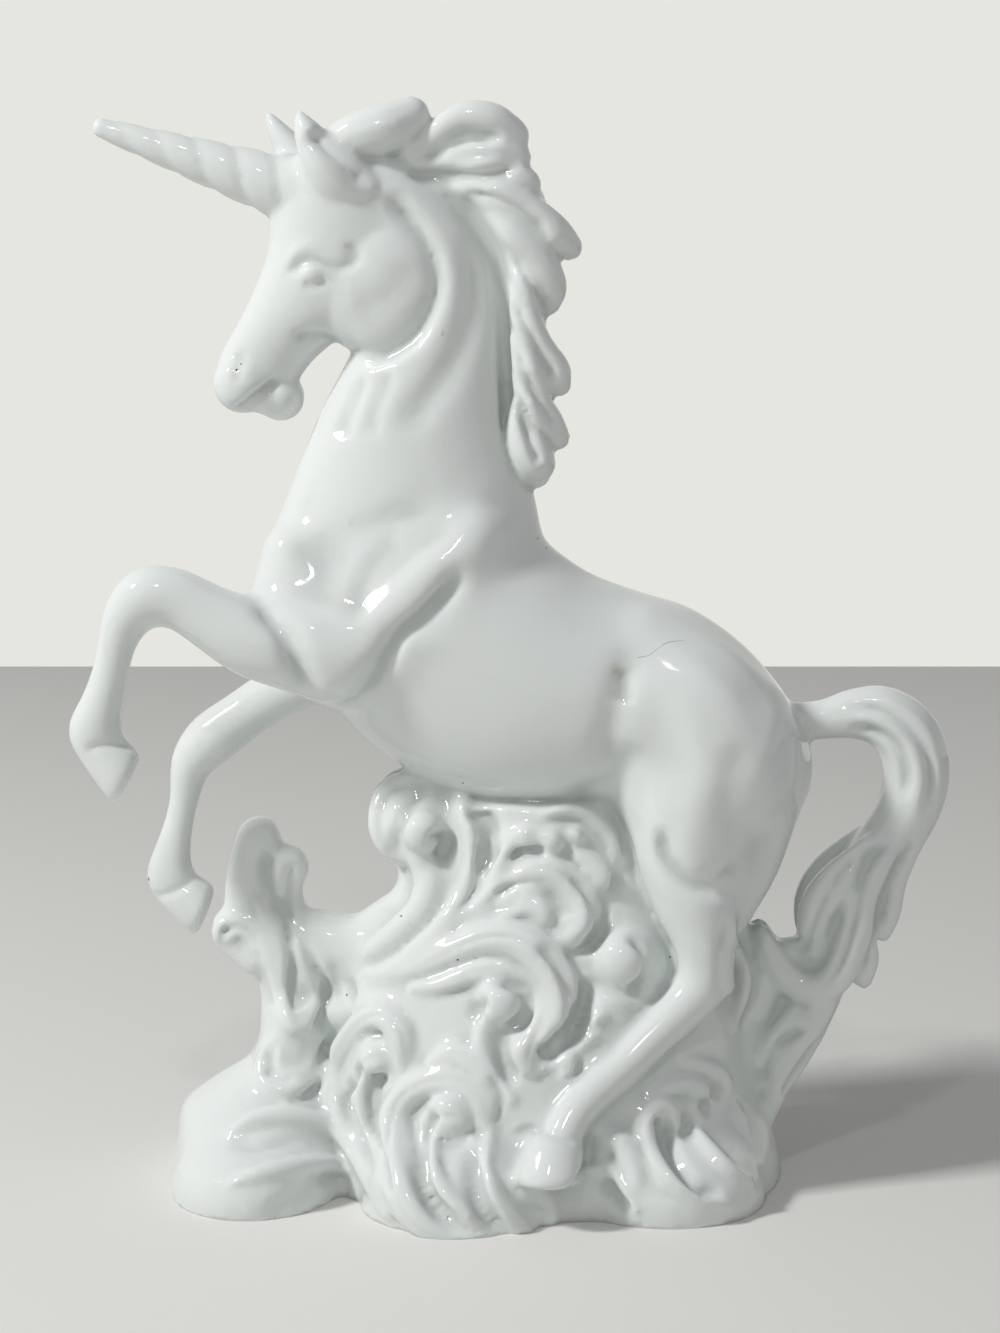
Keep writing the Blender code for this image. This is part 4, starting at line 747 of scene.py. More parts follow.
def nearHindLeg():
    leg = placed([
        (43.6, -8.0, 90.5, 1.0), (39.0, -10.9, 80, 0.84), (37.4, -13.0, 70.3, 0.70),
        (38.6, -14.7, 60.8, 0.56), (40.4, -16.3, 51.8, 0.40), (40.0, -17.2, 44.6, 0.345),
        (35.0, -19.2, 39.0, 0.30), (29.5, -21.8, 34.2, 0.265), (24.0, -24.2, 29.3, 0.26),
        (17.5, -27.2, 24.4, 0.26), (13.6, -29.6, 20.4, 0.26), (11.8, -31.2, 17.4, 0.25)],
        bodySettings["thighRadius"])
    heel = placed([(41.0, -17.0, 46.2, 0.25), (44.4, -17.4, 43.4, 0.16)], bodySettings["thighRadius"])
    back = placed([(50, -6.5, 78, 0.62), (48.2, -8.5, 67, 0.48), (44.5, -12, 57, 0.34)],
                  bodySettings["thighRadius"])
    return [curvePiece("near hind leg", [smoothRows(leg), heel, smoothRows(back)]),
            hoof("near hind hoof", (10.8, -31.6, 16.6), (-0.20, -0.30, -0.93), (9.4, -35.0, 8.6),
                 (0.02, -0.10, -0.99), 1.24)]


def farHindLeg():
    leg = placed([
        (45, 7.8, 88, 0.96), (44.5, 10.2, 76, 0.79), (44.5, 12.6, 64, 0.56),
        (46.0, 14.4, 53, 0.40), (46.0, 15.6, 44.5, 0.34), (41, 16.8, 38.5, 0.29),
        (33, 19.4, 31.5, 0.25), (26, 23.4, 24.5, 0.25), (20, 27.0, 19.5, 0.32),
        (17.4, 29.0, 16.6, 0.32)], bodySettings["thighRadius"])
    return [curvePiece("far hind leg", [smoothRows(leg)]),
            hoof("far hind hoof", (17.2, 29.4, 17.0), (-0.20, 0.30, -0.93), (16.2, 32.0, 8.0),
                 (0.02, 0.10, -0.99), 1.12)]


def muscles():
    # Shoulder blades, breast and haunches, which stand out from the barrel. Their y is a share of the depth.
    strokes = []
    for side, depth in ((-1, bodySettings["nearMuscleDepth"]), (1, bodySettings["farMuscleDepth"])):
        for rows in ([(-4.5, 0.70, 132, 0.75), (-14, 0.80, 122, 0.95), (-25, 0.80, 111, 1.10)],
                     [(-40.5, 0.45, 128, 0.72), (-40, 0.50, 118, 0.95), (-35, 0.55, 110, 0.92)],
                     [(28, 0.45, 108, 1.10), (38.5, 0.56, 98, 1.50), (44, 0.58, 86, 1.58)],
                     [(31, 0.62, 90, 1.05), (33, 0.66, 80, 1.05)]):
            strokes.append([(x, y * depth * side, z, share) for x, y, z, share in rows])
    return curvePiece("muscles", drawnStrokes(strokes, bodySettings["muscleRadius"]))


# The mane and the tail

hairSettings = {"maneHalfWidth": 0.0060, "maneLockRadius": 0.0036, "lockSeat": 0.62,
                "tailRadius": 0.0072, "tailStrandRadius": 0.0034}


def maneCore():
    # A thin crest from the forehead to the withers.
    return loftPiece("mane core", [
        (-29, 205, -31, 210.5, 0.40, 0),
        (-21.5, 204, -22, 213.2, 0.75, 0),
        (-15, 199.0, -13, 212.5, 1.00, 0),
        (-8.5, 193, 0, 211, 1.05, 0),
        (-2.5, 184, 9, 197, 1.00, 0),
        (-1.0, 175, 10, 183, 0.95, 0),
        (-0.5, 165, 9, 172, 0.88, 0),
        (0.5, 156, 10.5, 161, 0.82, 0),
        (2, 148, 9.8, 151, 0.70, 0),
        (4, 142, 7, 144, 0.48, 0)], hairSettings["maneHalfWidth"])


# Locks are (x, z, radius share, height over the crest's middle as a share).
maneLockRows = [
    [(-33.5, 207.6, 0.9, 1.0), (-28.4, 209.4, 1.25, 1.3), (-22.6, 211.0, 1.38, 1.3),
     (-17.6, 213.4, 1.1, 1.0)],
    [(-15.4, 207.4, 0.5, 1.0), (-11.6, 210.6, 0.75, 1.1), (-7, 213.0, 0.9, 1.0),
     (-2.0, 212.6, 1.0, 0.9), (2.2, 209.6, 1.0, 0.5)],
    [(-13.4, 205.8, 0.5, 1.2), (-7.0, 207.8, 0.6, 1.3), (-1.6, 207.4, 0.7, 1.2),
     (3.2, 205.6, 0.8, 0.7)],
    [(-10.0, 203.6, 0.5, 1.1), (-4.4, 203.0, 0.8, 1.3), (0.6, 202.8, 0.85, 1.1),
     (5.0, 200.4, 0.85, 0.8)],
    [(-7.6, 200.4, 0.6, 1.1), (-1.4, 198.4, 0.95, 1.3), (4.4, 195.6, 1.0, 1.2),
     (10.0, 191.2, 1.05, 0.9), (13.4, 188.2, 0.8, 0.3)],
    [(-0.8, 194.4, 0.6, 1.2), (2.6, 190.6, 0.85, 1.4), (7.0, 186.4, 0.95, 1.2),
     (9.6, 180.8, 1.0, 0.8), (9.4, 177.4, 0.75, 0.5)],
    [(3.0, 186.4, 0.5, 1.3), (5.2, 181.4, 0.75, 1.5), (7.2, 177.2, 0.7, 1.1)],
    [(3.2, 180.0, 0.5, 1.3), (4.8, 174.4, 0.85, 1.5), (7.6, 168.4, 0.9, 1.2),
     (10.6, 164.0, 0.95, 0.8), (11.8, 161.2, 0.65, 0.4)],
    [(3.4, 170.6, 0.5, 1.3), (5.4, 165.0, 0.9, 1.5), (8.0, 160.8, 0.7, 1.1)],
    [(3.6, 163.4, 0.5, 1.3), (6.0, 158.4, 0.85, 1.5), (8.9, 154.6, 0.9, 1.0),
     (11.2, 151.0, 0.75, 0.6)],
    [(3.4, 158.0, 0.45, 1.4), (3.6, 153.0, 0.75, 1.5), (5.0, 149.2, 1.15, 1.4),
     (6.6, 146.0, 1.25, 1.1), (7.0, 144.0, 0.9, 0.6)]]


def maneLocks():
    # Drops of hair that stand out from both faces of the crest.
    seat = hairSettings["maneHalfWidth"] * hairSettings["lockSeat"]
    strokes = []
    for side in (-1, 1):
        for lock in maneLockRows:
            rows = placed([(x, 0, z, share) for x, z, share, lift in lock], hairSettings["maneLockRadius"])
            rows[:, 1] = [side * seat * lift for x, z, share, lift in lock]
            strokes.append(smoothRows(rows))
    return curvePiece("mane locks", strokes)


tailLine = [
    (59, 0, 93.6, 0.57), (65, 0, 94.2, 0.58), (71, 0, 95.3, 0.74), (77, 0, 94.6, 0.90),
    (82, 0, 90.0, 0.98), (83.6, 0, 82, 0.95), (81.3, 0, 74, 0.90), (76, 0, 66.2, 0.86),
    (70.5, 0, 58.5, 0.76), (67.6, 0, 51, 0.72), (64.6, 0, 44.5, 0.68), (60.5, 0, 36, 0.64),
    (56.6, 0, 27, 0.58), (53.2, 0, 18, 0.56), (50.0, 0, 10, 0.56)]
tailStrands = [
    [(83.4, 2.0, 72, 0.9), (80.4, 3.0, 66.8, 1.0), (78.4, 3.2, 61.4, 1.0), (77.8, 2.8, 55.1, 0.9),
     (77.4, 2.0, 50.4, 0.5)],
    [(80.0, 4.2, 72, 0.6), (76.2, 5.4, 66.4, 0.9), (72.8, 6.0, 60.4, 0.95), (71.8, 6.0, 53.2, 1.0),
     (73.2, 4.6, 46.2, 0.95), (73.4, 3.2, 41.4, 0.6)],
    [(74.0, 5.0, 70.4, 0.5), (69.6, 5.6, 65.5, 0.9), (66.2, 5.4, 61.4, 1.1), (63.6, 4.6, 56.8, 1.1),
     (62.8, 3.4, 51.6, 0.9), (64.0, 2.4, 47.4, 0.6)],
    [(71.4, 6.4, 58.0, 0.5), (70.6, 6.8, 50.9, 0.9), (68.4, 6.8, 44.0, 1.0),
     (64.4, 5.8, 40.4, 1.0), (59.6, 4.4, 41.0, 0.95), (55.6, 3.2, 45.0, 0.9),
     (52.6, 2.2, 51.0, 0.6)],
    [(60.4, 4.6, 36.4, 0.4), (56.4, 5.4, 30.8, 0.65), (54.0, 5.6, 25.6, 0.65),
     (53.4, 5.2, 20.2, 0.4)],
    [(67.4, 4.6, 40.4, 0.6), (63.4, 5.2, 34.0, 0.9), (59.6, 5.4, 28.6, 0.95),
     (56.8, 5.0, 23.0, 0.9), (55.0, 4.4, 16.6, 0.75), (53.6, 3.6, 11.4, 0.5)],
    [(69.6, 2.6, 43.6, 0.6), (66.0, 3.2, 37.0, 0.8), (62.6, 3.4, 30.0, 0.85),
     (59.6, 3.4, 23.6, 0.7), (57.6, 3.0, 18.6, 0.4)]]


def tail():
    # A main rope of hair in a loop, with strands over it on both faces.
    strokes = [smoothRows(placed(tailLine, hairSettings["tailRadius"]))]
    for side in (1, -1):
        for strand in tailStrands:
            strokes.append(smoothRows(mirrored(placed(strand, hairSettings["tailStrandRadius"]), side)))
    return curvePiece("tail", strokes)


# The waves

waveSettings = {"moundHalfLength": 0.0460, "moundHalfDepth": 0.0320, "footLobeRadius": 0.0190,
                "swellHalfLength": 0.0195, "fingerRadius": 0.0056, "crestRadius": 0.0095,
                "scrollRadius": 0.0037, "scrollSink": 0.10, "ballFlatness": 0.9}


def mound():
    # From the table to the belly.
    return stackPiece("mound", [
        (9, -4, 1.0, 0.97), (9, 4, 1.0, 1.0), (8.5, 12, 0.98, 0.96), (8, 24, 0.93, 0.86),
        (7, 37, 0.89, 0.75), (7, 48, 0.78, 0.65), (8, 57, 0.67, 0.57),
        (8, 67, 0.54, 0.49), (7, 79, 0.46, 0.43)], waveSettings["moundHalfLength"], 3)


def leftSwell():
    # The wave's long run-out, which rises from the table to the finger.
    return stackPiece("left swell", [
        (-48.4, -4, 0.94, 0.93), (-48.4, 3, 0.955, 0.93), (-48.0, 9, 0.92, 0.76),
        (-47.6, 14.5, 0.90, 0.58), (-46.5, 18.0, 0.77, 0.46), (-44.5, 21.5, 0.60, 0.38),
        (-42.5, 25.5, 0.42, 0.32), (-41.8, 36, 0.28, 0.28)], waveSettings["swellHalfLength"], 4)


def footLobes():
    # Round lobes that make the foot's wavy outline: drawn places, and radii as shares.
    size = waveSettings["footLobeRadius"]
    balls = []
    for x, y, z, wide, deep, tall in (
            (-49.6, -12, 2, 0.88, 1.02, 0.64), (-49, 12, 2, 0.88, 0.98, 0.64),
            (-7, -21, 2, 1.10, 1.0, 0.82), (-7, 20, 2, 1.10, 1.0, 0.82),
            (17, -14, 1, 0.70, 0.8, 0.62), (17, 14, 1, 0.70, 0.8, 0.62),
            (33, -17, 2, 1.05, 1.0, 0.72), (33, 16, 2, 1.05, 1.0, 0.72), (45.6, 0, 2, 0.60, 1.1, 0.86)):
        x, y, z = np.array([x, y, z]) * drawnUnit
        balls.append((x, y, z, size * wide, size * deep, size * tall))
    return ballPiece("foot lobes", balls)


def finger():
    # The free wave under the raised hooves, and the saddle that joins it to the mound.
    return curvePiece("finger", drawnStrokes([
        [(-41.5, 0, 22, 1.4), (-42.5, 1, 31, 1.2), (-44.2, 2, 40, 0.95), (-48.5, 3, 48, 0.95),
         (-51.2, 3, 56, 0.92), (-50.9, 3, 63, 0.84), (-49.0, 3, 69.2, 0.86)],
        [(-41, 1, 40, 1.0), (-43.6, 2, 48, 1.05), (-44.6, 2, 55, 0.92), (-44.4, 1, 60, 0.78),
         (-43.0, 0.6, 64.0, 0.82)],
        [(-44, 2, 47, 1.0), (-37.5, 1, 48.3, 1.22), (-29, 0, 46.8, 1.32), (-20, 0, 49, 1.8)],
        [(-50, 2, 53, 0.60), (-55.2, 1, 52.6, 0.55), (-56.4, 0, 49.6, 0.42), (-53.5, 0, 47.2, 0.50),
         (-49.5, 0, 45, 0.70)]], waveSettings["fingerRadius"]))


def foamRidge():
    # The backs of the waves, which fill the mound's right end up to the hock and the tail.
    return curvePiece("foam ridge", drawnStrokes([
        [(47.6, 0, 2, 1.4), (47.6, 0, 14, 1.4), (48, 0, 27, 1.25), (48.5, 0, 38, 1.0),
         (47.5, 0, 48, 0.8), (46, 0, 56, 0.5)],
        [(50, 0, 30, 0.9), (52.5, 0, 38, 0.9), (56.5, 0, 44.5, 0.8), (62, 0, 46, 0.7)]],
        waveSettings["fingerRadius"]))


def crest():
    # The rolled head of the wave that meets the belly.
    return ballPiece("crest", [oval((-16.6, 0, 73.2), waveSettings["crestRadius"], 1.15),
                               oval((-12.0, 0, 58.0), waveSettings["crestRadius"], 1.15, 1.1)])


# Rolls of foam on the waves: cords of drawn (x, z) points with a radius share, laid on both faces.
foamCords = [
    [(-21.6, 2.6, 0.39), (-26.7, 7.5, 0.55), (-30.9, 12.6, 0.64), (-33.3, 17.8, 0.69), (-33.3, 23.9, 0.69),
     (-31.5, 29.6, 0.66), (-27.8, 34.9, 0.72), (-23.7, 37.2, 0.81), (-20.4, 35.3, 0.81),
     (-19.3, 31.6, 0.66), (-19.7, 27.5, 0.31)],
    [(-9.8, 0.3, 0.23), (-17.1, 2.4, 0.47), (-22.1, 6.5, 0.59), (-25.4, 11.2, 0.62), (-27.5, 16.4, 0.62),
     (-28.3, 21, 0.61), (-27.5, 25.5, 0.66), (-25.7, 28.6, 0.75), (-23.7, 29, 0.8), (-23.2, 27.4, 0.6)],
    [(-1, -1, 0.47), (-9.8, -0.3, 0.78), (-15.7, 3.2, 1.03), (-19.6, 9, 1.19), (-20.9, 15.5, 1.12),
     (-19.7, 21.3, 0.88), (-15.7, 24.9, 0.75), (-10.8, 26.5, 0.75), (-6.3, 25.5, 0.75), (-3.4, 22.4, 0.69),
     (-3.4, 18.2, 0.39)],
    [(-13.2, 30.2, 0.31), (-8.8, 31.5, 0.55), (-4.4, 29.9, 0.66), (-1.2, 26.2, 0.66), (-0.4, 22.1, 0.62),
     (-1.9, 17.8, 0.39)],
    [(0, 1, 0.31), (-6.3, 4.3, 0.62), (-11.2, 8.2, 0.66), (-13.7, 12.7, 0.64), (-13.7, 16.9, 0.72),
     (-11.7, 19.5, 0.8), (-9.5, 19.9, 0.9), (-8, 18.6, 0.8)],
    [(-5.4, 15.8, 0.31), (-3.4, 11.2, 0.62), (-1.5, 6.5, 0.7), (1.5, 2.1, 0.62), (5, -1, 0.31)],
    [(-20.5, 66.5, 0.23), (-23.2, 69.5, 0.47), (-24.7, 74, 0.56), (-23.3, 79.9, 0.62), (-20.3, 81.6, 0.62),
     (-16.7, 82.1, 0.62), (-12.3, 81.6, 0.56), (-8.3, 79.4, 0.55), (-5.9, 74.4, 0.55), (-4.9, 69.1, 0.52),
     (-5.9, 63.8, 0.47), (-8.9, 58.4, 0.39), (-13.3, 53.4, 0.31), (-18.3, 49.6, 0.23)],
    [(-16, 68, 0.78), (-13.9, 62.9, 0.97), (-15.3, 57.7, 0.97), (-19.9, 53, 0.91), (-24.9, 48.9, 0.7)],
    [(-26.9, 44, 0.23), (-21.8, 45.9, 0.36), (-15.8, 50, 0.41), (-10.8, 54.6, 0.41), (-5.9, 60.1, 0.41),
     (-2, 66, 0.41), (1, 70.4, 0.44), (3.9, 72.5, 0.47), (7.4, 73, 0.55), (9.8, 72.5, 0.78)],
    [(-48, 57, 0.47), (-45.5, 51.5, 0.62), (-44.5, 46.5, 0.62), (-44.4, 41, 0.55), (-43.5, 36.5, 0.47),
     (-41.5, 32.9, 0.39), (-39, 31.9, 0.31)],
    [(-42, 54.5, 0.31), (-40.4, 50.5, 0.48), (-39, 46, 0.55), (-37.6, 41.5, 0.55), (-37.5, 37, 0.47),
     (-39, 33.4, 0.31)],
    [(-38, 49, 0.23), (-35.5, 45, 0.47), (-33.9, 40.5, 0.55), (-33.4, 36, 0.55), (-34.7, 31.4, 0.52),
     (-37.1, 28.4, 0.31)],
    [(-45.1, 30.4, 0.23), (-47.8, 26.9, 0.35), (-47.8, 22.9, 0.39), (-45.1, 20.9, 0.41),
     (-41.1, 20.9, 0.41), (-37.6, 22.6, 0.34), (-35.6, 25.9, 0.28)],
    [(-44.1, 28.9, 0.23), (-44.1, 25.4, 0.31), (-41.6, 23.6, 0.35), (-38.6, 24.6, 0.28),
     (-37.6, 27.4, 0.23)],
    [(-53.6, 13.6, 0.31), (-49.1, 16.1, 0.55), (-42.1, 16.6, 0.66), (-36.1, 14.6, 0.55),
     (-31.9, 11.7, 0.31)],
    [(-52.2, 7.2, 0.31), (-47.2, 8.5, 0.55), (-41.1, 8.7, 0.62), (-35.1, 7.5, 0.55), (-30.4, 5.8, 0.31)],
    [(-57.2, 49.6, 0.31), (-56.9, 51.9, 0.36), (-54.6, 53.4, 0.38), (-51.5, 53.4, 0.39),
     (-48.7, 51.5, 0.42), (-47.1, 48.5, 0.45), (-46.6, 45, 0.39)],
    [(-55, 49.4, 0.27), (-54.1, 50.7, 0.3), (-52.4, 51.2, 0.31), (-50.6, 49.9, 0.31), (-49.6, 47.7, 0.27)],
    [(-2.4, 15.9, 0.39), (-3.4, 12.2, 0.48), (-1.7, 7.9, 0.56), (1.7, 3.7, 0.62), (5.5, -1, 0.47)],
    [(-24.8, 43.8, 0.23), (-17.3, 46.4, 0.47), (-9.8, 50.4, 0.7), (-3.9, 53.1, 0.88), (1.5, 53.6, 1.03),
     (6.4, 51.6, 1.17), (9.8, 47.8, 1.17), (11.7, 43.1, 1.11), (11.2, 38.5, 1.02), (8.8, 34.8, 0.84),
     (6.8, 31.5, 0.47)],
    [(-17.2, 43.1, 0.31), (-11.3, 44.3, 0.47), (-5.9, 46.6, 0.55), (-1, 48, 0.56), (3.4, 46.9, 0.59),
     (6.3, 43.7, 0.62), (7.3, 39.5, 0.62), (5.9, 35.7, 0.66), (4.4, 32.5, 0.88), (4.9, 29.7, 0.66)],
    [(-3.4, 38.8, 0.23), (-3.9, 34.6, 0.47), (-2.9, 30.4, 0.56), (-1, 26.7, 0.62), (1.9, 23.5, 0.47)],
    [(-14.8, 52.7, 0.23), (-8.4, 57.1, 0.33), (-3.4, 61.6, 0.41), (0.5, 65, 0.48), (4.4, 66.7, 0.62),
     (8.3, 66.8, 0.72), (12.3, 65.2, 0.81), (15.3, 62.3, 0.89), (16.8, 59, 0.92), (16.2, 55.7, 0.88),
     (13.7, 53.9, 0.7), (11.7, 53.9, 0.39)],
    [(0, 60.4, 0.23), (4.4, 62.5, 0.39), (8.3, 63.5, 0.42), (11.4, 61.9, 0.45), (12.8, 59.1, 0.47),
     (12.1, 56.3, 0.39)],
    [(0, 57.6, 0.23), (4.4, 59.5, 0.47), (7.6, 59.7, 0.7), (9.2, 58.2, 0.66)],
    [(8.3, 77.4, 0.23), (12.3, 78.3, 0.39), (16.2, 77.6, 0.42), (19.7, 74.9, 0.42), (22.2, 71.4, 0.42),
     (22.9, 68, 0.31)],
    [(14.7, 70, 0.31), (17.5, 67.9, 0.56), (19.7, 65.4, 0.72), (20.3, 63.5, 0.66)],
    [(24.6, 55.7, 0.23), (28.6, 52.9, 0.36), (30.9, 48.5, 0.38), (30.3, 44.8, 0.33), (28, 42.7, 0.23)],
    [(14.6, 31.9, 0.19), (16.8, 34.4, 0.34), (19, 35.5, 0.28)],
    [(16.1, 36.1, 0.19), (18.1, 38.2, 0.34), (20.3, 39, 0.28)],
    [(19.1, 41.5, 0.19), (21.5, 40.4, 0.38), (24.5, 38.3, 0.25)],
    [(21.5, 43.7, 0.23), (24, 41.7, 0.41), (26.7, 40.8, 0.27)],
    [(6.3, 28.3, 0.23), (9.3, 30, 0.36), (11.7, 31.4, 0.41), (13.7, 30.8, 0.41), (13.5, 29, 0.34),
     (11.7, 27.8, 0.23)],
    [(44.5, 3.5, 0.31), (38.3, 6.3, 0.48), (32.8, 9.1, 0.66), (29.3, 12.9, 0.72), (28.1, 16.7, 0.66),
     (28.9, 19.9, 0.58), (31.4, 20.8, 0.53), (33.9, 19.3, 0.47), (35.2, 16.7, 0.31)],
    [(36.8, 17, 0.25), (39, 14.8, 0.45), (41.9, 11.8, 0.56), (45.2, 9.1, 0.48), (48.8, 6.5, 0.31)],
    [(28.9, 23.6, 0.23), (32.4, 24.8, 0.42), (36.4, 24.9, 0.5), (39.6, 23, 0.53), (41.8, 20.6, 0.39)],
    [(35.9, 28.8, 0.23), (39.5, 27.7, 0.42), (43.2, 25.5, 0.48), (45.4, 22.6, 0.39)],
    [(46.8, 18, 0.31), (47.4, 15.4, 0.58), (49.4, 12.5, 0.31)],
    [(19.5, 15.9, 0.31), (22.9, 15.2, 0.66), (25.3, 12.3, 0.78), (26.4, 9.3, 0.56), (26.7, 6.9, 0.23)],
    [(17.5, 10.9, 0.28), (21, 10.2, 0.48), (23.9, 7.2, 0.48), (26.4, 3.6, 0.31)],
    [(4.4, 7.2, 0.39), (8.2, 5.8, 0.52), (9.9, 2.8, 0.47), (9, -1, 0.31)],
    [(45.4, 58, 0.23), (45.6, 53, 0.34), (47.5, 47.5, 0.42), (49.5, 43, 0.42), (49, 38, 0.42),
     (46.5, 33.4, 0.34)]]
# Round heads of foam, in the same form.
foamBalls = [
    (-15.5, 73.3, 1.2), (-24.3, 28.2, 1.1), (-9.5, 19.4, 1.4), (0.2, 41.7, 1.38), (24.1, 48.9, 1.65),
    (10.4, 72.2, 0.78), (5.4, 61.0, 0.60), (5.2, 72.8, 0.70), (14.4, 73.0, 0.55)]


def foamRows(cord):
    return smoothRows(flat(cord, waveSettings["scrollRadius"]), 4)


def foam(skin):
    # The cords and balls of foam, sunk a little into both faces.
    sink = waveSettings["scrollSink"]
    strokes = []
    balls = []
    for side in (-1, 1):
        for cord in foamCords:
            strokes.append(drape(foamRows(cord), skin, side, sink))
        for row in flat(foamBalls, waveSettings["scrollRadius"]):
            for x, y, z, size in drape([row], skin, side, sink):
                balls.append((x, y, z, size, size * waveSettings["ballFlatness"], size))
    return [curvePiece("foam cords", strokes), ballPiece("foam balls", balls)]


# Carved lines: width and depth as shares, then drawn (x, z) points. These press the bare forms.
foldLines = [
    (1.1, 1.8, [(-21.4, 198.9), (-20.3, 196.4), (-16, 191.5), (-13, 185.1), (-13, 179),
                (-16.1, 172.2), (-20.4, 168.6), (-25.5, 166.8), (-29.7, 167.6)]),
    (1.8, 0.9, [(-7, 191), (-5, 180), (-8, 168), (-15, 158), (-21, 152.5)]),
    (1.0, 1.2, [(-14.5, 203.6), (-9.0, 199.4), (-4.4, 193.0), (-0.6, 186.6), (0.6, 178),
                (1.0, 168), (1.0, 158), (1.6, 150), (3.8, 142.6)]),
    (1.7, 0.35, [(-11.1, 142), (-21.1, 136), (-26.3, 132.8), (-33.1, 127.9), (-36.8, 123.3)]),
    (1.7, 0.32, [(-7.1, 135.1), (-15.2, 130.8), (-19, 127.2), (-23.9, 122.7), (-27.2, 116.7)]),
    (1.8, 1.4, [(-9, 128.7), (-8.7, 125.2), (-11.2, 121.2), (-15.2, 116.7), (-19.9, 113.8),
                (-22, 109.9), (-25.2, 105), (-29.6, 101.6), (-34.1, 99.2)]),
    (1.6, 1.6, [(-49.2, 122.9), (-44.7, 118.2), (-41.5, 115.5), (-39.2, 109.9), (-38.1, 105.8),
                (-35.3, 100.5)]),
    (2.4, 0.6, [(0, 141), (-0.4, 135), (0.8, 127.6)]),
    (2.0, 1.0, [(27.1, 111.2), (23.6, 104.4), (21.7, 95.5), (19.4, 87.6)]),
    (1.7, 0.8, [(27.2, 93.6), (21.8, 85.7), (12.7, 80.7)]),
    (1.4, 1.3, [(31.4, 77.0), (32.0, 70.2), (37.7, 65.6), (43.6, 66.6), (47.0, 69.4)])]
